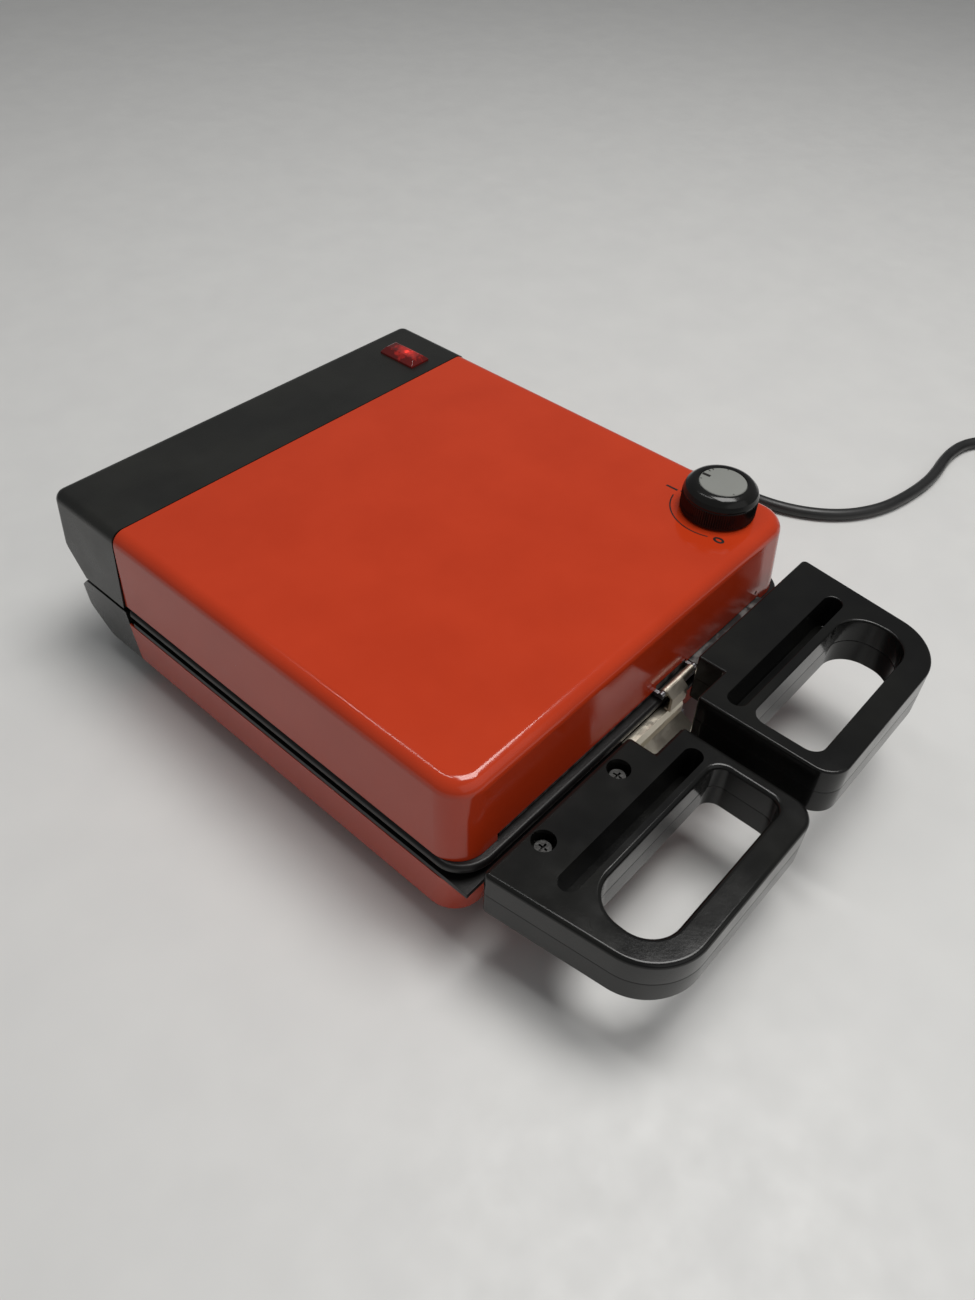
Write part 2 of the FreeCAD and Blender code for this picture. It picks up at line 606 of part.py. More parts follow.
def make_hinge_brackets(label, near, pin_hole, neck, flange_low):
    """A pair of steel ears with a round eye on the hinge line and a flange to screw down."""
    brackets = []
    thickness = size("ear_thickness")
    for side in (1, -1):
        name = "%s_%s" % (label, "right" if side > 0 else "left")
        start = near if side > 0 else -near - thickness
        plate = new_body("%s_plate" % name)
        sketch = new_sketch(plate, "YZ_Plane", start)
        outline(sketch, neck)
        grow(plate, "Pad", sketch, thickness)
        eye = rod("%s_eye" % name, start, size("hinge_reach"), size("hinge_height"), size("hinge_eye_radius"),
                  thickness, "X")
        flange = block("%s_flange" % name, near - 14 if side > 0 else -near, 158, flange_low, 14, 14, 2)
        bore = rod("%s_bore" % name, start - 1, size("hinge_reach"), size("hinge_height"), pin_hole,
                   thickness + 2, "X")
        brackets.append(cut("%s_ear" % name, fuse("%s_solid" % name, [plate, eye, flange]), [bore]))
    finished(label, fuse("%s_pair" % label, brackets))


def make_hinge():
    """Two ears on the base, two on the lid and a pin through each pair."""
    floor = size("lower_cover_floor") + size("cover_wall")
    ceiling = size("lid_top") - size("cover_wall")
    lower_near = size("hinge_span") - size("ear_thickness")
    upper_near = size("hinge_span") + 0.4
    make_hinge_brackets("lower_hinge_brackets", lower_near, size("hinge_pin_radius"),
                        ((158, floor), (172, floor), (183.5, 47.5), (177, 51), (158, 26)), floor)
    make_hinge_brackets("upper_hinge_brackets", upper_near, size("hinge_pin_radius") + size("hinge_play"),
                        ((176, 54), (183.5, 59.5), (184, 72), (176, ceiling), (158, ceiling), (158, 84)),
                        ceiling - 2)
    pins = [rod("hinge_pin_%d" % index, x, size("hinge_reach"), size("hinge_height"),
                size("hinge_pin_radius"), 9.2, "X")
            for index, x in enumerate((lower_near - 0.3, -size("hinge_span") - size("ear_thickness") - 0.9))]
    finished("hinge_pins", fuse("hinge_pin_pair", pins))


# Heating ----------------------------------------------------------------------------------

def bent_path(points, radius=None):
    """Straight runs joined by tangent arcs, and the radii of those arcs.

    With no radius given, each arc is as large as 0.45 of its shorter run allows.
    """
    vectors = [FreeCAD.Vector(*point) for point in points]
    edges, radii, start = [], [], vectors[0]
    for before, corner, after in zip(vectors, vectors[1:], vectors[2:]):
        back, ahead = before - corner, after - corner
        shorter = min(back.Length, ahead.Length)
        back.normalize()
        ahead.normalize()
        half_turn = (math.pi - back.getAngle(ahead)) / 2
        bend = radius or 0.45 * shorter / math.tan(half_turn)
        setback = bend * math.tan(half_turn)
        first, last = corner + back * setback, corner + ahead * setback
        towards = back + ahead
        towards.normalize()
        middle = corner + towards * (bend / math.cos(half_turn) - bend)
        edges.append(Part.LineSegment(start, first).toShape())
        edges.append(Part.Arc(first, middle, last).toShape())
        radii.append(bend)
        start = last
    edges.append(Part.LineSegment(start, vectors[-1]).toShape())
    return Part.Wire(edges), radii


def tube(label, points, radius, bend=None):
    """A round solid swept along a bent path, checked against section times length."""
    path, radii = bent_path(points, bend)
    start = FreeCAD.Vector(*points[0])
    heading = FreeCAD.Vector(*points[1]) - start
    section = Part.Wire(Part.makeCircle(radius.number, start, heading))
    solid = Part.Shape(path.makePipeShell([section], True, False))
    expected = math.pi * radius.number ** 2 * path.Length
    if abs(solid.Volume / expected - 1) > 0.01:
        raise RuntimeError("%s has the wrong volume" % label)
    item = doc.addObject("Part::Feature", "%s_sweep" % label)
    item.Shape = solid
    finished(label, item)
    return path.Length, radii


def make_element(label, height):
    """Tubular heater bent round under or over a plate, with its ends toward the rear."""
    level = height.number
    corners = ((-38, 139), (-38, 104), (-96, 104), (-96, -66), (96, -66), (96, 104), (38, 104), (38, 139))
    tube(label, [(x, y, level) for x, y in corners], size("element_radius"), 14.0)


def make_reflector(label, level, lip):
    """Thin steel tray that throws the heat back at the plate, open at the rear for the heater's ends."""
    sheet_metal = size("reflector_sheet")
    depth = abs(lip)
    left, front, width, length = -112, -84, 224, 210
    low = level if lip > 0 else level - depth
    hollow_low = level + sheet_metal if lip > 0 else low - 1
    tray = block("%s_tray" % label, left, front, low, width, length, sheet_metal + depth)
    hollow = block("%s_hollow" % label, left + sheet_metal, front + sheet_metal, hollow_low,
                   width - sheet_metal * 2, length - sheet_metal * 2, depth + 1)
    passage = block("%s_passage" % label, -46, front + length - 5, hollow_low, 92, 10, depth + 1)
    finished(label, cut("%s_pressed" % label, tray, [hollow, passage]))


def make_posts(label, low, high):
    """Four spacer posts between a plate and its pressing."""
    posts = [rod("%s_%d" % (label, index), x, y, low, 4, high - low)
             for index, (x, y) in enumerate(((-119, -80), (119, -80), (-119, 124), (119, 124)))]
    finished(label, fuse("%s_group" % label, posts))


# Thermostat, knob and pilot light ---------------------------------------------------------

def make_thermostat():
    """Switch block under the lid with a threaded neck, and the turning shaft."""
    x, y = size("knob_x"), size("knob_y")
    top = size("lid_top")
    case = block("thermostat_case", x - 18, y - 15, top - 24, 28, 30, 19)
    neck = rod("thermostat_neck", x, y, top - 6, 4.6, 5.6)
    bore = rod("thermostat_bore", x, y, top - 14, size("shaft_radius") + size("hinge_play"), 20)
    finished("thermostat_body", cut("thermostat_bored", fuse("thermostat_block", [case, neck]), [bore]))
    knob_top = top + size("knob_height")
    finished("thermostat_shaft", rod("thermostat_spindle", x, y, top - 13, size("shaft_radius"),
                                     size("knob_height") + 13 - size("cap_thickness") - 1))
    low = top + size("knob_gap")
    skirt = rod("knob_skirt_part", x, y, low, size("knob_radius"), size("knob_skirt"))
    shoulder_low = low + size("knob_skirt")
    shoulder = rod("knob_shoulder", x, y, shoulder_low, size("knob_radius"), knob_top - shoulder_low,
                   tip_radius=size("knob_shoulder_radius"))
    hollow = rod("knob_hollow", x, y, low - 1, size("shaft_radius"),
                 size("knob_height") - size("knob_gap") - size("cap_thickness"))
    seat = rod("knob_cap_seat", x, y, knob_top - size("cap_thickness"), size("cap_radius"), 3)
    finished("thermostat_knob", cut("knob_bored", fuse("knob_solid", [skirt, shoulder]), [hollow, seat]))
    finished("knob_cap", rod("knob_cap_disc", x, y, knob_top - size("cap_thickness"), size("cap_radius"),
                             size("cap_thickness")))


def make_pilot_light():
    """Faceted red lens on the rear cover and the neon lamp under it."""
    body = new_body("pilot_light_lens")
    half_x, half_y = size("lens_width") * 0.5, size("lens_length") * 0.5
    x, y, top = size("lens_x"), size("lens_y"), size("lid_top")
    stem = new_sketch(body, "XY_Plane", top - 4)
    rectangle(stem, x - half_x + 1.8, x + half_x - 1.8, y - half_y + 1.8, y + half_y - 1.8)
    grow(body, "Pad", stem, Size(4.0, "4"))
    face = new_sketch(body, "XY_Plane", top)
    rectangle(face, x - half_x, x + half_x, y - half_y, y + half_y)
    grow(body, "Pad", face, size("lens_height"))
    crown = number_of(top + size("lens_height"))
    names = ["Edge%d" % (n + 1) for n, edge in enumerate(body.Tip.Shape.Edges)
             if is_near(edge.CenterOfMass.z, crown, 0.1)]
    tip = body.Tip
    bevel = body.newObject("PartDesign::Chamfer", "pilot_light_bevel")
    bevel.Base = (tip, names)
    bind(bevel, "Size", size("lens_height") * 0.6)
    body.Tip = bevel
    doc.recompute()
    finished("pilot_light_lens", body)
    finished("pilot_light_lamp", rod("pilot_light_tube", x, y - 9, top - 9, 3, 18, "Y"))


# Plate clips ------------------------------------------------------------------------------

def make_clip(label, left, right, eye_y, eye_z, profiles):
    """Bent sheet-steel clip with a rolled eye; each profile is (left, right, outline)."""
    pieces = [rod("%s_eye" % label, left, eye_y, eye_z, size("clip_eye_radius") - 0.5, right - left, "X")]
    for index, (start, end, corners) in enumerate(profiles):
        leaf = new_body("%s_leaf_%d" % (label, index))
        sketch = new_sketch(leaf, "YZ_Plane", start)
        outline(sketch, corners)
        grow(leaf, "Pad", sketch, end - start)
        pieces.append(leaf)
    bore = rod("%s_bore" % label, left - 1, eye_y, eye_z, size("clip_pin_radius") + size("hinge_play"),
               right - left + 2, "X")
    finished(label, cut("%s_bent" % label, fuse("%s_whole" % label, pieces), [bore]))


def make_clip_hanger(label, left, right, eye_y, eye_z, lug_rear, lug_low, lug_height):
    """Pin held between two lugs, on which a clip turns."""
    pin = rod("%s_pin" % label, left - 2.6, eye_y, eye_z, size("clip_pin_radius"), right - left + 5.2, "X")
    lugs = [block("%s_lug_%d" % (label, index), x, eye_y - 1.6, lug_low, 2, lug_rear - eye_y + 1.6,
                  lug_height)
            for index, x in enumerate((left - 2.6, right + 0.6))]
    finished(label, fuse("%s_group" % label, [pin] + lugs))


def make_clips():
    """The clips that hold the plates in the lid and in the base."""
    left, right = size("upper_clip_left"), size("upper_clip_right")
    leg = ((-103.2, 60.6), (-105.0, 60.6), (-109.2, 57.4), (-109.2, 48.6), (-105.8, 48.6), (-105.8, 49.8),
           (-107.9, 49.8), (-107.9, 56.9), (-105.4, 58.6))
    make_clip("upper_plate_clip", left, right, -103.5, 58.7, [(left + 0.5, left + 14, leg)])
    make_clip_hanger("upper_clip_pin", left, right, -103.5, 58.7, -98.95, 57.0, 2.4)
    left, right = size("lower_clip_left"), size("lower_clip_right")
    arm = ((-106.3, 37.0), (-106.3, 46.6), (-103.2, 46.6), (-103.2, 47.8), (-107.6, 47.8), (-109.2, 44.5),
           (-109.2, 37.0))
    tab = ((-107.8, 38.3), (-109.4, 37.4), (-121.4, 30.6), (-122.0, 31.7), (-109.2, 39.2))
    make_clip("lower_plate_clip", left, right, -107.5, 36.4, [(left, right, arm), (left, right, tab)])
    make_clip_hanger("lower_clip_pin", left, right, -107.5, 36.4, -102.7, 34.4, 3.6)


# Feet, terminal block, gland, cord and plug -----------------------------------------------

FOOT_PLACES = (("front_foot_y", "pan_floor"), ("rear_foot_y", "lower_cover_floor"))


def make_feet():
    """Four rubber feet and the screws sunk in them."""
    feet, screws = [], []
    for y_name, floor_name in FOOT_PLACES:
        for side in (1, -1):
            x, y, height = size("foot_x") * side, size(y_name), size(floor_name)
            name = "%s_%s" % (y_name, "right" if side > 0 else "left")
            rubber = rod("%s_rubber" % name, x, y, 0, size("foot_tip_radius"), height,
                         tip_radius=size("foot_radius"))
            sink = rod("%s_sink" % name, x, y, -1, 4.2, 4.6)
            bore = rod("%s_bore" % name, x, y, 1, 2.05, height + 1)
            feet.append(cut("%s_cut" % name, rubber, [sink, bore]))
            head = rod("%s_head" % name, x, y, 1.4, 3.4, 2.2)
            shank = rod("%s_shank" % name, x, y, 3.0, 2, height + 2)
            screws.append(fuse("%s_screw" % name, [head, shank]))
    finished("rubber_feet", fuse("rubber_feet_group", feet))
    finished("foot_screws", fuse("foot_screws_group", screws))


def drill_for_feet(label, y_name):
    """Cut the foot screws' holes in the finished pressing or cover above them."""
    base = SUB_PARTS[label]
    base.Label = "%s_undrilled" % label
    tools = [rod("%s_drill_%d" % (label, index), size("foot_x") * side, size(y_name), 5, 2.1, 12)
             for index, side in enumerate((1, -1))]
    finished(label, cut("%s_drilled" % label, base, tools))


def make_terminal_block():
    """Ceramic mains block and its brass clamp screws."""
    floor = size("lower_cover_floor") + size("cover_wall")
    ceramic = block("terminal_ceramic", 26, 149, floor, 36, 15, 13)
    wells = [rod("terminal_well_%d" % index, 32 + 12 * index, 156.5, floor + 6, 2.6, 8) for index in range(3)]
    finished("terminal_block", cut("terminal_wells", ceramic, wells))
    screws = [rod("terminal_screw_%d" % index, 32 + 12 * index, 156.5, floor + 6, 2.5, 5)
              for index in range(3)]
    finished("terminal_screws", fuse("terminal_screw_group", screws))


def make_gland():
    """Tapered rubber strain relief, gripped in the rear cover's wall."""
    x, z, root = size("gland_x"), size("gland_height"), size("gland_root")
    collar = root + 5.5
    pieces = [rod("gland_flange", x, root - 11, z, 6.8, 2.6, "Y"),
              rod("gland_neck", x, root - 8.6, z, size("gland_radius") - 1.6, 14.4, "Y"),
              rod("gland_taper", x, collar, z, size("gland_radius"), size("gland_tip") - collar, "Y",
                  tip_radius=size("gland_tip_radius"))]
    finished("cord_strain_relief", fuse("gland_solid", pieces))


# Mains cord from the strain relief, round the right side and forward to the coil's outer turn.
CORD_ROUTE = (
    (95, 224, 24), (95, 249, 19), (101, 277, 8), (122, 299, 4.2), (155, 303, 4.2), (187, 288, 4.2),
    (209, 253, 4.2), (222, 206, 4.2), (234, 152, 4.2), (238, 96, 4.2), (246, 43, 4.2), (256, -2, 4.2),
    (261, -40, 4.2), (280, -71, 4.2), (307, -89, 4.2), (338, -97, 4.2), (373, -100, 4.2), (408, -95, 4.2),
    (436, -99, 4.2), (455, -117, 4.2), (460, -144, 4.2), (459, -168, 4.2),
)


def make_cord():
    """Cord tube, one solid for the wound coil, and the plug that lies on it."""
    length, radii = tube("mains_cord", CORD_ROUTE, size("cord_radius"))
    print("cord length", round(length, 1), "radii", [round(radius, 1) for radius in radii])
    x, y = size("coil_x"), size("coil_y")
    spread = size("coil_turn_pitch")
    height = spread * 2 + 0.2
    outer = rod("coil_outer", x, y, 0, size("coil_radius") + spread, height)
    inner = rod("coil_inner", x, y, -1, size("coil_radius") - spread, height + 2)
    ring = cut("coil_ring", outer, [inner])
    doc.recompute()
    soft = doc.addObject("Part::Fillet", "coil_soft")
    soft.Base = ring
    soft.Edges = [(n + 1, 4.0, 4.0) for n, edge in enumerate(ring.Shape.Edges)
                  if isinstance(edge.Curve, Part.Circle)]
    finished("mains_cord_coil", soft)
    axis_y, axis_z = y - size("coil_radius"), height + size("plug_thickness") * 0.5
    body = new_body("plug_body")
    plug_start = x - size("plug_setback")
    section = new_sketch(body, "YZ_Plane", plug_start)
    half_width, half_height = size("plug_width") * 0.5, size("plug_thickness") * 0.5
    rectangle(section, axis_y - half_width, axis_y + half_width, axis_z - half_height, axis_z + half_height)
    grow(body, "Pad", section, size("plug_length"))
    round_edges(body, Size(5.0, "5"), lambda edge: runs_along(edge, 0))
    relief = rod("plug_relief", plug_start - 14, axis_y, axis_z, 5, 14.5, "X", tip_radius=6.8)
    finished("plug", fuse("plug_moulding", [body, relief]))
    pins = [rod("plug_pin_%d" % index, plug_start + size("plug_length"), axis_y + 9.5 * side, axis_z,
                2.4, 19, "X")
            for index, side in enumerate((1, -1))]
    finished("plug_pins", fuse("plug_pin_pair", pins))


# Assembly ---------------------------------------------------------------------------------

def make_handle_sets():
    """Both handles with their brackets and screws; the lid's is on the right, the base's on the left."""
    lower_top = size("lower_handle_floor") + size("handle_thickness")
    make_handle("lower_handle", -1, size("lower_handle_floor"), size("lower_tongue"), True)
    make_handle("upper_handle", 1, size("upper_handle_floor"), size("upper_tongue"), False)
    make_handle_bracket("lower_handle_bracket", -1, size("lower_tongue"), Size(-97.5, "-97.5"), 34, 6.5)
    make_handle_bracket("upper_handle_bracket", 1, size("upper_tongue"), Size(-98.9, "-98.9"), 56.2, 5.3)
    make_handle_screws("lower_handle_screws", -1, lower_top - size("screw_recess_depth"), True,
                       size("lower_tongue") - 1)
    make_handle_screws("upper_handle_screws", 1, size("upper_tongue") - 3, False, size("upper_tongue") + 6)


def export_all():
    """Check every object and every sub-part, then write one STEP file for each sub-part."""
    doc.recompute()
    for item in doc.Objects:
        if "Invalid" in item.State or "Error" in item.State:
            raise RuntimeError("%s is %s" % (item.Label, item.State))
    for label, item in SUB_PARTS.items():
        if item.Shape.isNull() or not item.Shape.isValid() or not item.Shape.Solids:
            raise RuntimeError("%s has a bad shape" % label)
    for label, item in SUB_PARTS.items():
        item.Shape.exportStep("parts/%s.step" % label)
        print(label, len(item.Shape.Solids), round(item.Shape.Volume))


make_upper_shell()
make_lower_shell()
make_upper_rear_cover()
make_lower_rear_cover()
make_lower_waffle_plate()
make_upper_waffle_plate()
make_handle_sets()
make_hinge()
make_element("lower_heating_element", size("lower_element"))
make_element("upper_heating_element", size("upper_element"))
make_reflector("lower_heat_reflector", size("lower_reflector"), 5)
make_reflector("upper_heat_reflector", size("upper_reflector"), -5)
make_posts("lower_plate_posts", size("pan_floor") + size("steel_wall"), size("lower_plate_floor"))
make_posts("upper_plate_posts", size("upper_plate_top"), size("lid_top") - size("steel_wall"))
make_thermostat()
make_pilot_light()
make_clips()
make_feet()
drill_for_feet("lower_shell", "front_foot_y")
drill_for_feet("lower_rear_cover", "rear_foot_y")
make_terminal_block()
make_gland()
make_cord()
export_all()
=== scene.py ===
import math

import bmesh
import bpy
from mathutils import Matrix, Vector


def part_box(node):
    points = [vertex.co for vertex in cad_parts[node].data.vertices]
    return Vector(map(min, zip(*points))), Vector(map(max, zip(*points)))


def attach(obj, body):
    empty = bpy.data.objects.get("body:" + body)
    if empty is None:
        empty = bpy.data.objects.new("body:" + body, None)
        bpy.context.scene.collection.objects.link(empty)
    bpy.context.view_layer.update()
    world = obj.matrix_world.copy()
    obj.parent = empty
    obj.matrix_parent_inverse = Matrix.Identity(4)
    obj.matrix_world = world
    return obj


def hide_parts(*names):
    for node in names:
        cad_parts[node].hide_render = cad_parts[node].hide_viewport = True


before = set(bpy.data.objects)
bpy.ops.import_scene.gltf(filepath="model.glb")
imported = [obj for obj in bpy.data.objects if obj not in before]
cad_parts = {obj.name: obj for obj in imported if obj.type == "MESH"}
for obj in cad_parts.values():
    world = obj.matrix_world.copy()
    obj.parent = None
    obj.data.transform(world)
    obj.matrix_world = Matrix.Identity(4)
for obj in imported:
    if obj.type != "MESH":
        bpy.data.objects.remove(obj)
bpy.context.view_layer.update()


# Lid pressing: one deep-drawn sheet of steel with drafted walls and a broad rounded edge,
# stoved in gloss orange-red enamel. The front wall is cut away low down for the handle's
# strap and the plate clip, and a few small chips show dark in the enamel.

MM = 0.001


def open_piece(piece):
    """Make one object the only selected and active one."""
    if bpy.context.object and bpy.context.object.mode != "OBJECT":
        bpy.ops.object.mode_set(mode="OBJECT")
    bpy.ops.object.select_all(action="DESELECT")
    piece.select_set(True)
    bpy.context.view_layer.objects.active = piece


def block(name, low, high):
    """A cube stretched between two corners given in millimetres."""
    bpy.ops.object.select_all(action="DESELECT")
    bpy.ops.mesh.primitive_cube_add(size=1)
    piece = bpy.context.object
    piece.name = piece.data.name = name
    piece.scale = [(b - a) * MM for a, b in zip(low, high)]
    piece.location = [(a + b) / 2 * MM for a, b in zip(low, high)]
    bpy.ops.object.transform_apply(location=True, rotation=True, scale=True)
    return piece


def choose(piece, kind, test):
    """Open a piece in edit mode with only the vertices, edges or faces that pass the test selected."""
    open_piece(piece)
    bpy.ops.object.mode_set(mode="EDIT")
    bpy.ops.mesh.select_mode(type=kind)
    bpy.ops.mesh.select_all(action="DESELECT")
    mesh = bmesh.from_edit_mesh(piece.data)
    for part in {"VERT": mesh.verts, "EDGE": mesh.edges, "FACE": mesh.faces}[kind]:
        if test(part):
            part.select_set(True)
    mesh.select_flush_mode()
    bmesh.update_edit_mesh(piece.data)


def close_piece():
    """Leave edit mode."""
    bpy.ops.object.mode_set(mode="OBJECT")


def middle(part):
    """The middle of an edge or face, in millimetres."""
    return sum((vertex.co for vertex in part.verts), Vector()) / len(part.verts) / MM


def runs(edge, axis):
    """True if an edge lies mostly along that axis."""
    line = edge.verts[1].co - edge.verts[0].co
    return abs(line[axis]) > 0.9 * line.length


def round_off(piece, radius, segments, test):
    """Bevel the edges that pass the test to a round of that radius in millimetres."""
    choose(piece, "EDGE", test)
    bpy.ops.mesh.bevel(offset=radius * MM, segments=segments, profile=0.5, affect="EDGES", clamp_overlap=True)
    close_piece()


def slide(piece, test, shift):
    """Move the vertices that pass the test by a shift in millimetres."""
    choose(piece, "VERT", lambda vertex: test(vertex.co / MM))
    bpy.ops.transform.translate(value=[step * MM for step in shift])
    close_piece()


def drop_faces(piece, test):
    """Delete the faces that pass the test."""
    choose(piece, "FACE", test)
    bpy.ops.mesh.delete(type="FACE")
    close_piece()


def apply_modifier(piece, kind, **settings):
    """Add a modifier with these settings and apply it."""
    open_piece(piece)
    modifier = piece.modifiers.new(kind.lower(), kind)
    for name, value in settings.items():
        setattr(modifier, name, value)
    bpy.ops.object.modifier_apply(modifier=modifier.name)


def carve(piece, *tools):
    """Cut each tool's shape out of a piece and delete the tool."""
    for tool in tools:
        apply_modifier(piece, "BOOLEAN", operation="DIFFERENCE", solver="EXACT", object=tool)
        bpy.data.objects.remove(tool)


def soften(piece, width, segments=3, angle=35):
    """Round every sharp edge a little and smooth the shading between flat faces."""
    if width:
        apply_modifier(piece, "BEVEL", width=width * MM, segments=segments, limit_method="ANGLE",
                       angle_limit=math.radians(angle), harden_normals=False)
    open_piece(piece)
    bpy.ops.object.shade_smooth_by_angle(angle=math.radians(40))
    apply_modifier(piece, "WEIGHTED_NORMAL", keep_sharp=True, weight=60)


def link(material, source, target):
    """Join two sockets of a material."""
    material.node_tree.links.new(source, target)


def node(material, kind, **inputs):
    """Add a shader node and set its named inputs, given with underscores for spaces."""
    made = material.node_tree.nodes.new(kind)
    for name, value in inputs.items():
        made.inputs[name.replace("_", " ")].default_value = value
    return made


def noise(material, scale, detail=3.0):
    """Noise read from the piece's own coordinates."""
    place = node(material, "ShaderNodeTexCoord")
    grain = node(material, "ShaderNodeTexNoise", Scale=scale, Detail=detail)
    link(material, place.outputs["Object"], grain.inputs["Vector"])
    return grain.outputs["Fac"]


def spread(material, value, low, high, to_low, to_high):
    """Map a value from one range to another."""
    ranged = node(material, "ShaderNodeMapRange", From_Min=low, From_Max=high, To_Min=to_low, To_Max=to_high)
    link(material, value, ranged.inputs["Value"])
    return ranged.outputs["Result"]


def mixed(material, factor, first, second):
    """Mix two colours, either of which may be a socket, by a factor."""
    mix = material.node_tree.nodes.new("ShaderNodeMix")
    mix.data_type = "RGBA"
    link(material, factor, mix.inputs[0])
    for socket, colour in ((mix.inputs[6], first), (mix.inputs[7], second)):
        if isinstance(colour, tuple):
            socket.default_value = (*colour, 1)
        else:
            link(material, colour, socket)
    return mix.outputs[2]


def finish(name, colour, shade, rough, grain, bump, worn=None, wear=0.55, **shader_values):
    """A painted, moulded or metal finish: mottled colour, uneven gloss, fine grain and rubbed edges.

    colour and shade are the two tones that mottle, rough the range of roughness, grain the
    scale of the surface texture, bump its strength and worn the colour of rubbed edges.
    """
    material = bpy.data.materials.new(name)
    material.use_nodes = True
    shader = material.node_tree.nodes["Principled BSDF"]
    for socket, value in shader_values.items():
        shader.inputs[socket.replace("_", " ")].default_value = value
    cloud = spread(material, noise(material, 22.0), 0.35, 0.65, 0.0, 1.0)
    tone = mixed(material, cloud, colour, shade)
    if worn:
        edge = material.node_tree.nodes.new("ShaderNodeNewGeometry").outputs["Pointiness"]
        rubbed = spread(material, edge, wear, wear + 0.05, 0.0, 1.0)
        patchy = material.node_tree.nodes.new("ShaderNodeMath")
        patchy.operation = "MULTIPLY"
        link(material, rubbed, patchy.inputs[0])
        link(material, spread(material, noise(material, 180.0), 0.45, 0.6, 0.0, 1.0), patchy.inputs[1])
        tone = mixed(material, patchy.outputs[0], tone, worn)
    link(material, tone, shader.inputs["Base Color"])
    link(material, spread(material, noise(material, 60.0, 6.0), 0.3, 0.7, *rough), shader.inputs["Roughness"])
    relief = node(material, "ShaderNodeBump", Strength=bump, Distance=0.0004)
    link(material, noise(material, grain), relief.inputs["Height"])
    link(material, relief.outputs["Normal"], shader.inputs["Normal"])
    return material


def speck(material, place, reach, colour):
    """Paint a small chipped spot of one colour round a place given in millimetres."""
    shader = material.node_tree.nodes["Principled BSDF"]
    under = shader.inputs["Base Color"].links[0].from_socket
    where = node(material, "ShaderNodeTexCoord")
    gap = material.node_tree.nodes.new("ShaderNodeVectorMath")
    gap.operation = "DISTANCE"
    link(material, where.outputs["Object"], gap.inputs[0])
    gap.inputs[1].default_value = [part * MM for part in place]
    inside = spread(material, gap.outputs["Value"], reach * MM, reach * MM * 0.6, 0.0, 1.0)
    link(material, mixed(material, inside, under, colour), shader.inputs["Base Color"])
    gloss = shader.inputs["Roughness"].links[0].from_socket
    link(material, mixed(material, inside, gloss, (1.0, 1.0, 1.0)), shader.inputs["Roughness"])


def dress(piece, body, slot, material, *nodes):
    """Give a piece its material and body, and hide the CAD nodes it stands for."""
    piece.data.materials.clear()
    piece.data.materials.append(material)
    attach(piece, body)
    if nodes:
        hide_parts(*nodes)


def in_mm(node_name):
    """A CAD node's lowest and highest corners in millimetres."""
    return [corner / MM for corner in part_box(node_name)]


red_enamel = finish("red_enamel", (0.50, 0.041, 0.010), (0.465, 0.036, 0.008), (0.10, 0.18), 900.0, 0.03,
                    IOR=1.5)

CORNER_ROUND = 16.0
LID_EDGE_ROUND = 7.4
LID_TOP_HALF = 130.0
LID_TOP_FRONT = -97.0
LID_MOUTH_HALF, LID_MOUTH_FRONT = 132.6, -99.9
SHEET = 1.2
CUTAWAY_HALF, CUTAWAY_TOP, CUTAWAY_FLOOR = 108, 59.6, 50
CUTAWAY_FRONT, CUTAWAY_REAR = -106, -92
CLIP_NOTCH_FLOOR, CLIP_NOTCH_TOP, CLIP_ROOM = 58, 62, 1
CHIP_BROWN = (0.02, 0.008, 0.006)
CHIPS = (((-132.2, 48, 79), 0.9), ((-131.9, 47, 77.4), 0.6), ((103.4, -100.2, 64), 1.6))
lid_low, lid_high = in_mm("upper_shell")


def deep_drawn(name, low, high, narrow_top, narrow_half, narrow_front, edge_round):
    """A drafted tray open at the rear and at its wide side, with rounded corners."""
    tray = block(name, low, high)
    far_z = high[2] if narrow_top else low[2]
    choose(tray, "VERT", lambda vertex: abs(vertex.co.z / MM - far_z) < 0.1)
    bpy.ops.transform.resize(value=(narrow_half / high[0], 1, 1), center_override=(0, 0, 0))
    close_piece()
    slide(tray, lambda place: abs(place.z - far_z) < 0.1 and place.y < 0, (0, narrow_front - low[1], 0))
    round_off(tray, CORNER_ROUND, 16, lambda edge: runs(edge, 2) and middle(edge).y < 0)
    round_off(tray, edge_round, 10, lambda edge: abs(middle(edge).z - far_z) < 0.1
              and middle(edge).y < high[1] - 0.1)
    drop_faces(tray, lambda face: abs(middle(face).y - high[1]) < 0.1 and abs(face.normal.y) > 0.9
               or abs(face.normal.z) > 0.9 and abs(middle(face).z - far_z) > 5)
    return tray


mouth_low = Vector((-LID_MOUTH_HALF, LID_MOUTH_FRONT, lid_low.z))
mouth_high = Vector((LID_MOUTH_HALF, lid_high.y, lid_high.z))
lid = deep_drawn("lid_pressing", mouth_low, mouth_high, True, LID_TOP_HALF, LID_TOP_FRONT, LID_EDGE_ROUND)
apply_modifier(lid, "SOLIDIFY", thickness=SHEET * MM, offset=-1, use_even_offset=True)
clip_low, clip_high = in_mm("upper_plate_clip")
carve(lid,
      block("front_cutaway", (-CUTAWAY_HALF, CUTAWAY_FRONT, CUTAWAY_FLOOR),
            (CUTAWAY_HALF, CUTAWAY_REAR, CUTAWAY_TOP)),
      block("clip_notch", (clip_low.x - CLIP_ROOM, CUTAWAY_FRONT, CLIP_NOTCH_FLOOR),
            (clip_high.x + CLIP_ROOM, CUTAWAY_REAR, CLIP_NOTCH_TOP)))
soften(lid, 0.25, 2, 50)
for chip_place, chip_reach in CHIPS:
    speck(red_enamel, chip_place, chip_reach, CHIP_BROWN)
dress(lid, "lid", "red_enamel", red_enamel, "upper_shell")


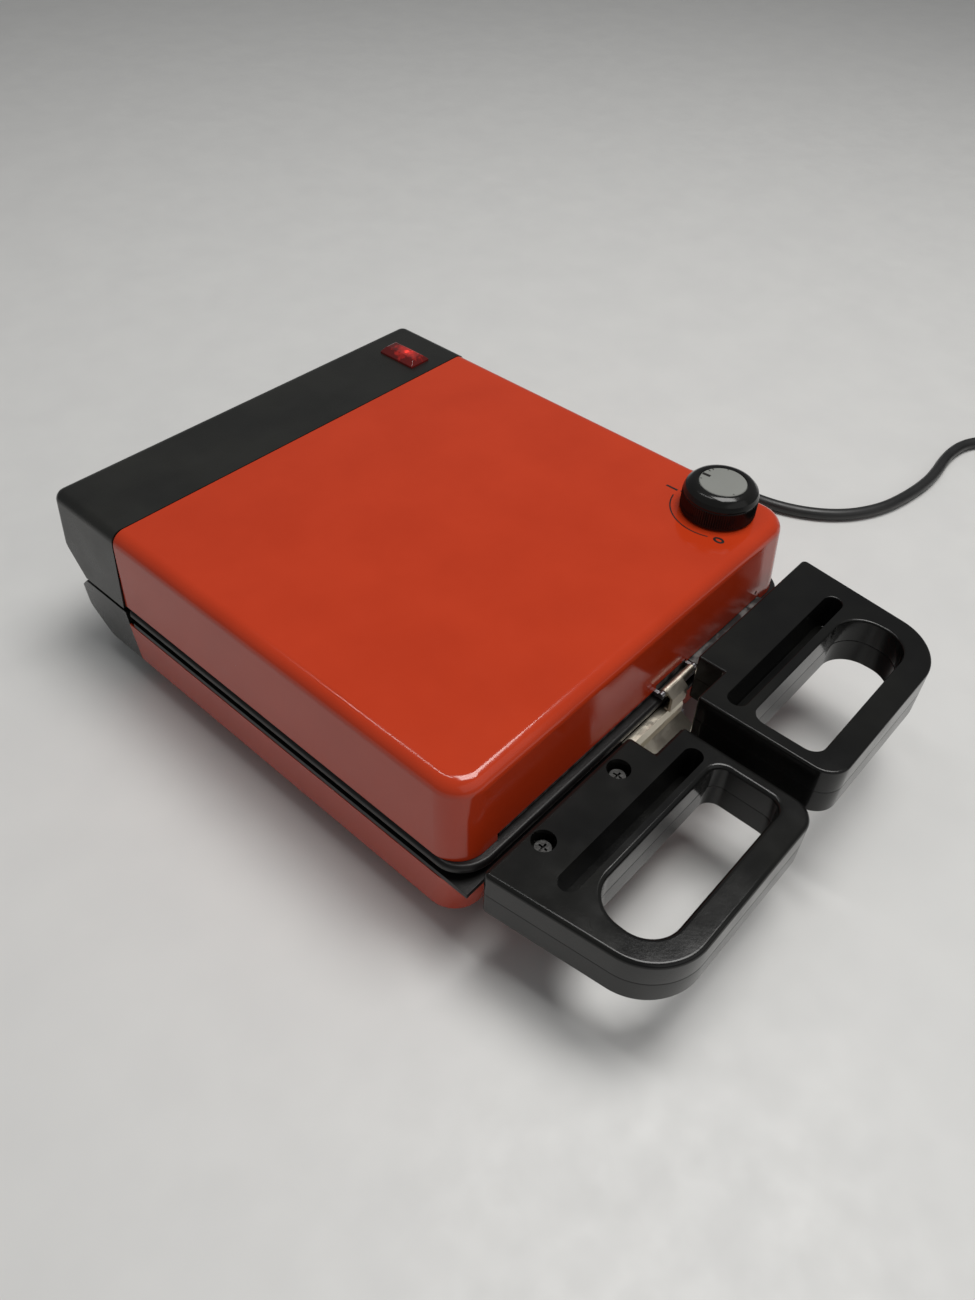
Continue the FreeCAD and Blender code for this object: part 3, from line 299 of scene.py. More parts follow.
# Base pan: the matching shallow pressing, rounded along its lower edges, in the same enamel.
# The plate's black rim sits in its mouth.

PAN_FLOOR_HALF = 131.3
PAN_FLOOR_FRONT = -97.0
PAN_EDGE_ROUND = 9.0
pan_low, pan_high = in_mm("lower_shell")
pan = deep_drawn("base_pan", pan_low, pan_high, False, PAN_FLOOR_HALF, PAN_FLOOR_FRONT, PAN_EDGE_ROUND)
apply_modifier(pan, "SOLIDIFY", thickness=SHEET * MM, offset=-1, use_even_offset=True)
soften(pan, 0.25, 2, 50)
dress(pan, "base", "red_enamel", red_enamel, "lower_shell")


# Rear covers: two black phenolic mouldings, pressed with a very fine satin grain, that close
# the pressings at the back. The upper one slants in underneath and the lower one bulges,
# so that they pass each other as the lid swings up.

black_moulding = finish("black_moulding", (0.010, 0.010, 0.009), (0.015, 0.015, 0.013), (0.24, 0.34),
                        2600.0, 0.08, IOR=1.5)


def slice_off(piece, first, second):
    """Cut away all that lies outside the plane through two points of the side view (Y, Z)."""
    choose(piece, "FACE", lambda face: True)
    away = Vector((0, first[1] - second[1], second[0] - first[0]))
    bpy.ops.mesh.bisect(plane_co=(0, first[0] * MM, first[1] * MM), plane_no=away, use_fill=True,
                        clear_outer=True)
    bpy.ops.mesh.select_all(action="SELECT")
    bpy.ops.mesh.normals_make_consistent(inside=False)
    close_piece()


COVER_CORNER = 6.0
WALL = 2.4
UPPER_EDGE_ROUND, LOWER_EDGE_ROUND = 1.0, 1.6
MEETING_DEPTH = 180.0
UPPER_SLANT_TOP = 74.0
EAR_NEAR, EAR_FAR, EAR_FRONT, EAR_REAR = 82, 93, 166, 196
EAR_REACH, EAR_CLEAR = 9.5, 3
LAMP_HOLE_FLOOR, LAMP_HOLE_TOP, LENS_LAP = 95, 108, 1.2
cover_low, cover_high = in_mm("upper_rear_cover")
upper_cover = block("rear_cover_upper", cover_low, cover_high)
choose(upper_cover, "VERT", lambda vertex: vertex.co.z / MM > cover_high.z - 0.1)
bpy.ops.transform.resize(value=(LID_TOP_HALF / cover_high.x, 1, 1), center_override=(0, 0, 0))
close_piece()
round_off(upper_cover, COVER_CORNER, 6, lambda edge: not runs(edge, 0) and middle(edge).y > 185)
round_off(upper_cover, LID_EDGE_ROUND, 8, lambda edge: abs(middle(edge).z - cover_high.z) < 0.1
          and middle(edge).y > cover_low.y + 0.1)
slice_off(upper_cover, (cover_high.y, UPPER_SLANT_TOP), (MEETING_DEPTH, cover_low.z))
drop_faces(upper_cover, lambda face: middle(face).y < cover_low.y + 0.1)
apply_modifier(upper_cover, "SOLIDIFY", thickness=WALL * MM, offset=-1, use_even_offset=True)


def edge_along_x(*places):
    """A test for the long edges that pass through these points of the side view (Y, Z)."""
    return lambda edge: runs(edge, 0) and any(
        abs(middle(edge).y - y) + abs(middle(edge).z - z) < 0.4 for y, z in places)


round_off(upper_cover, UPPER_EDGE_ROUND, 3,
          edge_along_x((cover_high.y, UPPER_SLANT_TOP), (MEETING_DEPTH, cover_low.z)))
lens_low, lens_high = in_mm("pilot_light_lens")


def ear_slots(low, high):
    """Blocks for the gaps that the hinge ears pass through."""
    return [block("ear_slot_%d" % side, (min(side * EAR_NEAR, side * EAR_FAR), EAR_FRONT, low),
                  (max(side * EAR_NEAR, side * EAR_FAR), EAR_REAR, high))
            for side in (1, -1)]


carve(upper_cover,
      block("lamp_hole", (lens_low.x + LENS_LAP, lens_low.y + LENS_LAP, LAMP_HOLE_FLOOR),
            (lens_high.x - LENS_LAP, lens_high.y - LENS_LAP, LAMP_HOLE_TOP)),
      *ear_slots(cover_low.z - EAR_CLEAR, cover_low.z + EAR_REACH))
soften(upper_cover, 0.35, 2, 50)
dress(upper_cover, "lid", "black_moulding", black_moulding, "upper_rear_cover")

UNDER_ROUND = 9.0
under_low, under_high = in_mm("lower_rear_cover")
UNDER_SIDE = ((MEETING_DEPTH, under_high.z), (under_high.y, 37.3), (188.6, 18.5), (174.0, under_low.z))
lower_cover = block("rear_cover_lower", under_low, under_high)
choose(lower_cover, "VERT", lambda vertex: vertex.co.z / MM < under_low.z + 0.1)
bpy.ops.transform.resize(value=(PAN_FLOOR_HALF / under_high.x, 1, 1), center_override=(0, 0, 0))
close_piece()
round_off(lower_cover, UNDER_ROUND, 8, lambda edge: not runs(edge, 0) and middle(edge).y > under_high.y - 1)
round_off(lower_cover, UNDER_ROUND, 8, lambda edge: middle(edge).z < under_low.z + 0.1
          and middle(edge).y > under_low.y + 0.1)
for higher, lower in zip(UNDER_SIDE, UNDER_SIDE[1:]):
    slice_off(lower_cover, higher, lower)
drop_faces(lower_cover, lambda face: middle(face).y < under_low.y + 0.1)
apply_modifier(lower_cover, "SOLIDIFY", thickness=WALL * MM, offset=-1, use_even_offset=True)
round_off(lower_cover, LOWER_EDGE_ROUND, 4, edge_along_x(*UNDER_SIDE))
carve(lower_cover, *ear_slots(under_high.z - EAR_REACH, under_high.z + EAR_CLEAR))
soften(lower_cover, 0.35, 2, 50)
dress(lower_cover, "base", "black_moulding", black_moulding, "lower_rear_cover")


# Handles: two loops moulded in glossy black bakelite, side by side, with a finger hole, a
# blind slot that keeps the heat from the grip, and sunk seats for the screws. A faint
# parting line runs round them at mid height.

bakelite = finish("black_bakelite", (0.006, 0.006, 0.006), (0.010, 0.010, 0.009), (0.12, 0.22), 700.0, 0.05,
                  IOR=1.5, Specular_IOR_Level=0.32)

NOTCH_HALF, NOTCH_FRONT = 27.0, -125.0
HANDLE_OUTER_FRONT = 119.0
GRIP = (11.8, 109.5, -184.3, -149.0)
SLOT = (12.0, 113.5, -144.0, -134.0, 21.0)
SLOT_ROUND = 4.9
OUTER_ROUND, INNER_ROUND, REAR_ROUND, RIM_ROUND = 26, 12, 3, 2.8
HOLE_OUTER_ROUND, HOLE_INNER_ROUND = 16, 7
SCREWS_X, SCREWS_Y = (46.5, 100.0), -118.4
SEAT_RADIUS, SEAT_DEPTH = 5.75, 8.5
PARTING_HALF, PARTING_DEPTH = 0.5, 0.24


def turned(name, centre, profile, steps):
    """A round piece drawn up ring by ring from (radius, height) pairs in millimetres."""
    bpy.ops.object.select_all(action="DESELECT")
    first_radius, first_height = profile[0]
    bpy.ops.mesh.primitive_circle_add(vertices=steps, radius=first_radius * MM, fill_type="NGON",
                                      location=(centre[0] * MM, centre[1] * MM, first_height * MM))
    piece = bpy.context.object
    piece.name = piece.data.name = name
    bpy.ops.object.transform_apply(location=True, rotation=True, scale=True)
    choose(piece, "FACE", lambda face: True)
    for (radius, height), (next_radius, next_height) in zip(profile, profile[1:]):
        bpy.ops.mesh.extrude_region_move(
            TRANSFORM_OT_translate={"value": (0, 0, (next_height - height) * MM)})
        factor = next_radius / radius
        bpy.ops.transform.resize(value=(factor, factor, 1),
                                 center_override=(centre[0] * MM, centre[1] * MM, next_height * MM))
    bpy.ops.mesh.select_all(action="SELECT")
    bpy.ops.mesh.normals_make_consistent(inside=False)
    close_piece()
    return piece


def handle_loop(name, cad_node, side, screws_on_top):
    """A handle on the right for side 1 or on the left for side -1."""
    low, high = in_mm(cad_node)
    inner, outer = (low.x, high.x) if side > 0 else (high.x, low.x)
    body = block(name, low, high)
    slide(body, lambda place: abs(place.x - outer) < 0.1 and place.y < low.y + 1,
          (side * HANDLE_OUTER_FRONT - outer, 0, 0))
    carve(body, block("notch", (min(0, side * NOTCH_HALF), NOTCH_FRONT, low.z - 5),
                      (max(0, side * NOTCH_HALF), high.y + 5, high.z + 5)))
    round_off(body, OUTER_ROUND, 18, lambda edge: runs(edge, 2) and middle(edge).y < low.y + 1
              and abs(middle(edge).x) > 60)
    round_off(body, INNER_ROUND, 12, lambda edge: runs(edge, 2) and middle(edge).y < low.y + 1
              and abs(middle(edge).x - inner) < 1)
    round_off(body, REAR_ROUND, 5, lambda edge: runs(edge, 2) and middle(edge).y > high.y - 1
              and abs(middle(edge).x) > 100)
    near, far, front, rear = GRIP
    hole = block("finger_hole", (min(side * near, side * far), front, low.z - 5),
                 (max(side * near, side * far), rear, high.z + 5))
    round_off(hole, HOLE_OUTER_ROUND, 14, lambda edge: runs(edge, 2) and abs(middle(edge).x) > 60)
    round_off(hole, HOLE_INNER_ROUND, 8, lambda edge: runs(edge, 2) and abs(middle(edge).x) < 60)
    carve(body, hole)
    apply_modifier(body, "BEVEL", width=RIM_ROUND * MM, segments=6, limit_method="ANGLE",
                   angle_limit=math.radians(60), use_clamp_overlap=True)
    parting = (low.z + high.z) / 2
    for level in (parting - PARTING_HALF, parting, parting + PARTING_HALF):
        choose(body, "FACE", lambda face: True)
        bpy.ops.mesh.bisect(plane_co=(0, 0, level * MM), plane_no=(0, 0, 1))
        close_piece()
    choose(body, "VERT", lambda vertex: abs(vertex.co.z / MM - parting) < 0.05)
    bpy.ops.transform.shrink_fatten(value=-PARTING_DEPTH * MM)
    close_piece()
    near, far, front, rear, depth = SLOT
    slot = block("heat_slot", (min(side * near, side * far), front, high.z - depth),
                 (max(side * near, side * far), rear, high.z + 5))
    round_off(slot, SLOT_ROUND, 8, lambda edge: runs(edge, 2))
    seats = []
    if screws_on_top:
        seat_profile = ((SEAT_RADIUS, high.z - SEAT_DEPTH), (SEAT_RADIUS, high.z + 1))
        seats = [turned("screw_seat", (side * x, SCREWS_Y), seat_profile, 40) for x in SCREWS_X]
    carve(body, slot, *seats)
    soften(body, 0.7, 3, 55)
    return body


lower_grip = handle_loop("handle_loop_left", "lower_handle", -1, True)
dress(lower_grip, "base", "black_bakelite", bakelite, "lower_handle")
upper_grip = handle_loop("handle_loop_right", "upper_handle", 1, False)
dress(upper_grip, "lid", "black_bakelite", bakelite, "upper_handle")


# Thermostat knob: a black moulded knob with a finely ribbed skirt and a glossy chamfered
# shoulder. A satin grey disc with the pointer mark is pressed into its top.

knob_low, knob_high = in_mm("thermostat_knob")
knob_x, knob_y = (knob_low.x + knob_high.x) / 2, (knob_low.y + knob_high.y) / 2
knob_radius = (knob_high.x - knob_low.x) / 2
skirt_top = knob_low.z + 10.5
RIBS, RIB_DEPTH = 96, 0.972
knob = turned("knob_moulding", (knob_x, knob_y),
              ((knob_radius - 1.6, knob_low.z), (knob_radius - 0.3, knob_low.z + 0.3),
               (knob_radius, knob_low.z + 0.9), (knob_radius, skirt_top - 0.5),
               (knob_radius - 0.5, skirt_top), (knob_radius - 0.5, skirt_top + 0.7),
               (knob_radius - 0.2, skirt_top + 1.0), (knob_radius - 0.5, skirt_top + 1.9),
               (knob_radius - 1.1, skirt_top + 3.5), (knob_radius - 2.0, knob_high.z - 2.4),
               (knob_radius - 3.1, knob_high.z - 1.2), (knob_radius - 4.4, knob_high.z - 0.4),
               (knob_radius - 5.7, knob_high.z), (13.1, knob_high.z), (12.75, knob_high.z - 0.35),
               (12.7, knob_high.z - 1.2)), RIBS * 2)


def between_ribs(vertex):
    """True for every other vertex round the skirt."""
    level = vertex.co.z / MM
    turn = math.atan2(vertex.co.y - knob_y * MM, vertex.co.x - knob_x * MM) / math.tau
    return knob_low.z + 0.5 < level < skirt_top - 0.2 and round(turn * RIBS * 2) % 2 == 0


choose(knob, "VERT", between_ribs)
bpy.ops.transform.resize(value=(RIB_DEPTH, RIB_DEPTH, 1),
                         center_override=(knob_x * MM, knob_y * MM, knob_low.z * MM))
close_piece()
open_piece(knob)
bpy.ops.object.shade_smooth_by_angle(angle=math.radians(16))
dress(knob, "knob", "knob_black", bakelite, "thermostat_knob")

knob_grey = finish("knob_grey", (0.21, 0.215, 0.2), (0.235, 0.24, 0.225), (0.42, 0.55), 2200.0, 0.10)
disc_low, disc_high = in_mm("knob_cap")
disc = turned("knob_disc", (knob_x, knob_y),
              ((12.5, disc_low.z), (12.55, disc_high.z - 0.5), (12.2, disc_high.z - 0.15),
               (8.0, disc_high.z - 0.1), (0.5, disc_high.z - 0.1)), 64)
soften(disc, 0)
dress(disc, "knob", "knob_grey", knob_grey, "knob_cap")

print_black = finish("print_black", (0.008, 0.006, 0.006), (0.012, 0.009, 0.008), (0.3, 0.45), 1500.0, 0.05)
POINTER_TURN = math.radians(95)
MARK_LEVEL, MARK_REACH, TICK_WIDTH = disc_high.z - 0.13, 12.0, 0.5
TICKS = ((60, 1.0), (72, 1.4), (118, 1.0), (20, 0.8), (240, 0.8))


def printed_bar(name, reach_from, reach_to, width, turn, level):
    """A printed stroke that points at the knob's middle."""
    bar = block(name, (knob_x + reach_from, knob_y - width / 2, level),
                (knob_x + reach_to, knob_y + width / 2, level + 0.08))
    choose(bar, "VERT", lambda vertex: True)
    bpy.ops.transform.rotate(value=-turn, orient_axis="Z", center_override=(knob_x * MM, knob_y * MM, 0))
    close_piece()
    return bar


pointer = printed_bar("knob_pointer", 7.6, MARK_REACH, 1.9, POINTER_TURN, MARK_LEVEL)
dress(pointer, "knob", "knob_black", print_black)
for index, (turn, reach) in enumerate(TICKS):
    tick = printed_bar("knob_tick_%d" % index, MARK_REACH - reach, MARK_REACH, TICK_WIDTH,
                       math.radians(turn), MARK_LEVEL)
    dress(tick, "knob", "knob_black", print_black)


# Dial print: a stroke at the on mark, a thin arc for the range and a nought for off, screen
# printed in black on the enamel round the knob.

PRINT_LEVEL = lid_high.z + 0.01
print_pieces = [printed_bar("dial_stroke", 24.9, 32.0, 1.3, math.radians(91), PRINT_LEVEL),
                printed_bar("dial_stroke_short", 21.0, 23.4, 0.9, math.radians(89), PRINT_LEVEL)]


def printed_ring(name, centre, radius, squeeze, stroke, kept=(0, 360)):
    """A printed ring, or the part of it between two angles in degrees, squeezed in X."""
    bpy.ops.object.select_all(action="DESELECT")
    bpy.ops.mesh.primitive_circle_add(vertices=90, radius=radius * MM, fill_type="NGON",
                                      location=(centre[0] * MM, centre[1] * MM, PRINT_LEVEL * MM))
    ring = bpy.context.object
    ring.name = ring.data.name = name
    bpy.ops.object.transform_apply(location=True, rotation=True, scale=True)
    choose(ring, "FACE", lambda face: True)
    bpy.ops.transform.resize(value=(squeeze, 1, 1), center_override=(centre[0] * MM, centre[1] * MM, 0))
    bpy.ops.mesh.inset(thickness=stroke * MM)
    bpy.ops.mesh.delete(type="FACE")
    close_piece()

    def left_out(face):
        place = middle(face)
        angle = math.degrees(math.atan2(place.y - centre[1], place.x - centre[0])) % 360
        return not kept[0] <= angle <= kept[1]

    drop_faces(ring, left_out)
    apply_modifier(ring, "SOLIDIFY", thickness=0.06 * MM, offset=0)
    return ring


print_pieces.append(printed_ring("dial_arc", (knob_x, knob_y), 25.2, 1.0, 0.75, (103, 201)))
NOUGHT_TURN, NOUGHT_REACH = math.radians(215), 26.4
nought_place = (knob_x + NOUGHT_REACH * math.cos(NOUGHT_TURN), knob_y + NOUGHT_REACH * math.sin(NOUGHT_TURN))
print_pieces.append(printed_ring("dial_nought", nought_place, 3.1, 0.74, 1.35))
for piece in print_pieces:
    dress(piece, "lid", "knob_black", print_black)


# Pilot light: a low faceted lens of clear red plastic, roofed towards a ridge, with a neon
# lamp under it that glows at one end.

lens_base = lid_high.z
ROOF_RISE, LAND_WIDTH, LAND_RISE = 2.6, 1.2, 0.5
lens = block("pilot_lens", (lens_low.x, lens_low.y, lens_base - 1),
             (lens_high.x, lens_high.y, lens_base + 1.2))
choose(lens, "FACE", lambda face: face.normal.z > 0.9)
bpy.ops.mesh.extrude_region_move(TRANSFORM_OT_translate={"value": (0, 0, ROOF_RISE * MM)})
bpy.ops.transform.resize(value=(0.62, 0.86, 1))
bpy.ops.mesh.inset(thickness=LAND_WIDTH * MM)
bpy.ops.transform.translate(value=(0, 0, LAND_RISE * MM))
close_piece()
soften(lens, 0.3, 3, 20)

red_lens = finish("red_lens", (0.10, 0.004, 0.003), (0.06, 0.003, 0.003), (0.1, 0.2), 1200.0, 0.03, IOR=1.49,
                  Coat_Weight=0.5, Coat_Roughness=0.05)
lens_shader = red_lens.node_tree.nodes["Principled BSDF"]
NEON_X, NEON_Y, NEON_STRETCH = 100.7, 163.4, 0.62
lamp_place = node(red_lens, "ShaderNodeTexCoord")
lamp_frame = node(red_lens, "ShaderNodeMapping", Scale=(1.0, NEON_STRETCH, 1.0),
                  Location=(-NEON_X * MM, -NEON_Y * NEON_STRETCH * MM, -(lens_base + 2.0) * MM))
link(red_lens, lamp_place.outputs["Object"], lamp_frame.inputs["Vector"])
lamp_gap = red_lens.node_tree.nodes.new("ShaderNodeVectorMath")
lamp_gap.operation = "LENGTH"
link(red_lens, lamp_frame.outputs["Vector"], lamp_gap.inputs[0])
uneven = red_lens.node_tree.nodes.new("ShaderNodeMath")
uneven.operation = "MULTIPLY"
link(red_lens, lamp_gap.outputs["Value"], uneven.inputs[0])
link(red_lens, spread(red_lens, noise(red_lens, 320.0), 0.3, 0.7, 0.7, 1.35), uneven.inputs[1])
halo = spread(red_lens, uneven.outputs[0], 7.0 * MM, 1.5 * MM, 0.02, 0.5)
core = spread(red_lens, uneven.outputs[0], 2.9 * MM, 0.6 * MM, 0.0, 2.4)
strength = red_lens.node_tree.nodes.new("ShaderNodeMath")
link(red_lens, halo, strength.inputs[0])
link(red_lens, core, strength.inputs[1])
lens_shader.inputs["Emission Color"].default_value = (1.0, 0.045, 0.03, 1)
link(red_lens, strength.outputs[0], lens_shader.inputs["Emission Strength"])
dress(lens, "lid", "red_lens", red_lens, "pilot_light_lens")


# Waffle plates: cast aluminium under a satin black non-stick coat. The upper one has a
# rolled bead that lies in the seam and the lower one a flat rim.

coated = finish("coated_plate", (0.006, 0.006, 0.006), (0.010, 0.009, 0.009), (0.3, 0.42), 1400.0, 0.15,
                IOR=1.5, Specular_IOR_Level=0.3)


def merged_copy(cad_node, name):
    """A copy of a CAD node with its loose triangles joined up, so that it can be shaded smooth."""
    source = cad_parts[cad_node]
    piece = bpy.data.objects.new(name, source.data.copy())
    piece.data.name = name
    bpy.context.scene.collection.objects.link(piece)
    choose(piece, "FACE", lambda face: True)
    bpy.ops.mesh.remove_doubles(threshold=0.004 * MM)
    bpy.ops.mesh.select_all(action="SELECT")
    bpy.ops.mesh.dissolve_limited(angle_limit=math.radians(0.5))
    close_piece()
    return piece


BEAD_CORNER, BEAD_SQUEEZE = -88.0, 0.85
for cad_node, name, body in (("upper_waffle_plate", "plate_upper", "lid"),
                             ("lower_waffle_plate", "plate_lower", "base")):
    plate = merged_copy(cad_node, name)
    if body == "lid":
        choose(plate, "VERT", lambda vertex: vertex.co.y / MM < BEAD_CORNER)
        bpy.ops.transform.resize(value=(1, BEAD_SQUEEZE, 1), center_override=(0, BEAD_CORNER * MM, 0))
        close_piece()
    soften(plate, 0.5, 2, 50)
    dress(plate, body, "coated_plate", coated, cad_node)


# Small metal pieces: the straps that carry the handles, the screws, hinge ears, pins, clips,
# posts and sheet-metal parts keep their CAD shapes and get their own finishes.

black_steel = finish("black_steel", (0.012, 0.012, 0.012), (0.018, 0.017, 0.016), (0.3, 0.5), 800.0, 0.15,
                     worn=(0.14, 0.135, 0.13), wear=0.56)
zinc = finish("zinc_steel", (0.42, 0.42, 0.43), (0.34, 0.34, 0.36), (0.3, 0.45), 900.0, 0.12, Metallic=1.0)
blackened = finish("blackened_screw", (0.05, 0.05, 0.05), (0.09, 0.088, 0.085), (0.3, 0.45), 700.0, 0.2,
                   Metallic=1.0)
bright_steel = finish("bright_steel", (0.78, 0.72, 0.60), (0.68, 0.62, 0.52), (0.26, 0.42), 130.0, 0.9,
                      Metallic=1.0)
sheath = finish("heater_sheath", (0.12, 0.11, 0.105), (0.17, 0.15, 0.14), (0.4, 0.6), 900.0, 0.2,
                Metallic=1.0)
tray_sheet = finish("reflector_sheet", (0.62, 0.62, 0.64), (0.55, 0.55, 0.57), (0.22, 0.38), 500.0, 0.1,
                    Metallic=1.0)
switch = finish("switch_moulding", (0.55, 0.49, 0.38), (0.5, 0.44, 0.34), (0.45, 0.6), 1200.0, 0.15)
lamp_glass = finish("lamp_glass", (0.9, 0.35, 0.2), (0.85, 0.3, 0.16), (0.05, 0.1), 500.0, 0.02, IOR=1.5)
rubber = finish("foot_rubber", (0.018, 0.018, 0.018), (0.026, 0.026, 0.025), (0.6, 0.8), 1800.0, 0.3)
ceramic = finish("ceramic", (0.7, 0.68, 0.62), (0.64, 0.62, 0.56), (0.5, 0.65), 1500.0, 0.2)
brass = finish("brass", (0.62, 0.42, 0.16), (0.55, 0.37, 0.14), (0.2, 0.35), 900.0, 0.1, Metallic=1.0)
nickel = finish("nickel", (0.62, 0.6, 0.55), (0.56, 0.54, 0.5), (0.15, 0.3), 900.0, 0.08, Metallic=1.0)

CARRIED_OVER = (
    (black_steel, ("lower_handle_bracket", "upper_handle_bracket")),
    (blackened, ("lower_handle_screws", "upper_handle_screws")),
    (zinc, ("lower_hinge_brackets", "upper_hinge_brackets", "hinge_pins", "lower_clip_pin",
            "upper_clip_pin", "lower_plate_posts", "upper_plate_posts", "foot_screws", "thermostat_shaft")),
    (bright_steel, ("lower_plate_clip", "upper_plate_clip")),
    (sheath, ("lower_heating_element", "upper_heating_element")),
    (tray_sheet, ("lower_heat_reflector", "upper_heat_reflector")),
    (switch, ("thermostat_body",)),
    (lamp_glass, ("pilot_light_lamp",)),
    (rubber, ("rubber_feet",)),
    (ceramic, ("terminal_block",)),
    (brass, ("terminal_screws",)),
    (nickel, ("plug_pins",)),
)
for material, cad_nodes in CARRIED_OVER:
    for cad_node in cad_nodes:
        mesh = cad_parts[cad_node].data
        mesh.materials.clear()
        mesh.materials.append(material)


# Mains cord: a round black rubber lead, 8 mm across, that leaves the rear cover through a
# tapered strain relief, lies on the table round the right side and is put away in a coil.

cord_black = finish("cord_rubber", (0.012, 0.012, 0.012), (0.018, 0.018, 0.018), (0.32, 0.48), 1600.0, 0.1,
                    IOR=1.5)
CORD_ROUTE = (
    (95, 224, 24), (95, 249, 19), (101, 277, 8), (122, 299, 4.2), (155, 303, 4.2), (187, 288, 4.2),
    (209, 253, 4.2), (222, 206, 4.2), (234, 152, 4.2), (238, 96, 4.2), (246, 43, 4.2), (256, -2, 4.2),
    (261, -40, 4.2), (280, -71, 4.2), (307, -89, 4.2), (338, -97, 4.2), (373, -100, 4.2), (408, -95, 4.2),
    (436, -99, 4.2), (455, -117, 4.2), (460, -144, 4.2), (459, -168, 4.2),
)
COIL_PLACE = (507.2, -172.0)
CORD_RADIUS = 4.0
INNER_TURN, OUTER_TURN = 40.2, 48.6
LOW_LAYER, HIGH_LAYER, PLUG_LEVEL = 4.2, 12.6, 24.5
STEPS_A_TURN, COIL_TURNS = 18, 4.08
LAST_BEND, LAST_BEND_RADIUS = (494.7, -182), 34
LEAD_END = (502.0, -216.0)


def eased(start, end, turns, first, last):
    """Go smoothly from first to last while the turns run from start to end."""
    share = min(1.0, max(0.0, (turns - start) / (end - start)))
    return first + (last - first) * share * share * (3 - 2 * share)


route = [Vector(point) for point in CORD_ROUTE]


def on_circle(centre, radius, angle, level):
    """A point of the route on a level circle."""
    return Vector((centre[0] + radius * math.cos(angle), centre[1] + radius * math.sin(angle), level))


for step in range(1, int(COIL_TURNS * STEPS_A_TURN) + 1):
    turns = step / STEPS_A_TURN
    radius = eased(0.82, 1.0, turns, OUTER_TURN, INNER_TURN)
    radius += eased(2.84, 3.0, turns, 0, OUTER_TURN - INNER_TURN)
    radius += eased(3.8, 4.1, turns, 0, 1.6)
    level = eased(1.6, 1.8, turns, LOW_LAYER, HIGH_LAYER)
    level += eased(3.55, 4.05, turns, 0, PLUG_LEVEL - HIGH_LAYER)
    route.append(on_circle(COIL_PLACE, radius, math.pi + math.tau * turns, level))
for degrees in (228, 240, 252, 264):
    route.append(on_circle(LAST_BEND, LAST_BEND_RADIUS, math.radians(degrees), PLUG_LEVEL))
route.append(Vector((*LEAD_END, PLUG_LEVEL)))

cord_line = bpy.data.curves.new("mains_lead", "CURVE")
cord_line.dimensions = "3D"
spline = cord_line.splines.new("NURBS")
spline.points.add(len(route) - 1)
for point, place in zip(spline.points, route):
    point.co = (*(place * MM), 1)
spline.order_u = 3
spline.use_endpoint_u = True
cord_line.resolution_u = 8
cord_line.bevel_depth = CORD_RADIUS * MM
cord_line.bevel_resolution = 6
cord_line.use_fill_caps = True
lead = bpy.data.objects.new("mains_lead", cord_line)
bpy.context.scene.collection.objects.link(lead)
dress(lead, "base", "cord_rubber", cord_black, "mains_cord", "mains_cord_coil")

GLAND_X, GLAND_Z = 95.0, 24.0


def lay_along_y(piece, centre_x, centre_z):
    """Turn a piece that was drawn up Z at the origin so that its axis runs along Y."""
    choose(piece, "VERT", lambda vertex: True)
    bpy.ops.transform.rotate(value=math.pi / 2, orient_axis="X", center_override=(0, 0, 0))
    close_piece()
    if max(vertex.co.y for vertex in piece.data.vertices) <= 0.001:
        choose(piece, "VERT", lambda vertex: True)
        bpy.ops.transform.rotate(value=math.pi, orient_axis="Z", center_override=(0, 0, 0))
        close_piece()
    slide(piece, lambda place: True, (centre_x, 0, centre_z))


relief_profile = [(6.0, 178.0), (6.0, 191.8), (7.6, 192.3), (7.6, 194.5)]
RELIEF_RINGS, RELIEF_START, RING_STEP = 7, 196.0, 3.8
RELIEF_WIDTH, RING_TAPER = 7.3, 0.36
for ring in range(RELIEF_RINGS):
    reach = RELIEF_START + ring * RING_STEP
    width = RELIEF_WIDTH - ring * RING_TAPER
    relief_profile += [(width, reach), (width - 0.05, reach + 2.0), (width - 1.0, reach + 2.4),
                       (width - 1.05, reach + 3.4)]
relief_profile += [(5.0, 222.8), (4.7, 223.9), (3.6, 224.0)]
relief = turned("strain_relief", (0, 0), relief_profile, 36)
lay_along_y(relief, GLAND_X, GLAND_Z)
soften(relief, 0.12, 2, 30)
dress(relief, "base", "cord_rubber", cord_black, "cord_strain_relief")

plug_low, plug_high = in_mm("plug")
plug_matte = finish("plug_moulding", (0.014, 0.014, 0.014), (0.022, 0.022, 0.021), (0.42, 0.58), 1500.0, 0.2)
PLUG_TAIL, PLUG_ROUND, SHOULDER, NECK = 13.5, 5.5, 1.5, 4
plug_start = plug_low.x + PLUG_TAIL
plug = block("plug_body", (plug_start, plug_low.y, plug_low.z), plug_high)
round_off(plug, PLUG_ROUND, 8, lambda edge: runs(edge, 0))
choose(plug, "FACE", lambda face: face.normal.x < -0.9)
for step_back, width_left, height_left in ((SHOULDER, 0.82, 0.9), (NECK, 0.6, 0.92),
                                           (PLUG_TAIL - SHOULDER - NECK, 0.8, 0.78)):
    bpy.ops.mesh.extrude_region_move(TRANSFORM_OT_translate={"value": (-step_back * MM, 0, 0)})
    bpy.ops.transform.resize(value=(1, width_left, height_left))
close_piece()
soften(plug, 0.6, 3, 30)
dress(plug, "base", "plug_moulding", plug_matte, "plug")


# Studio: a pale table, a dim room, three soft lights and the camera, which stands at the
# front left, above the machine.

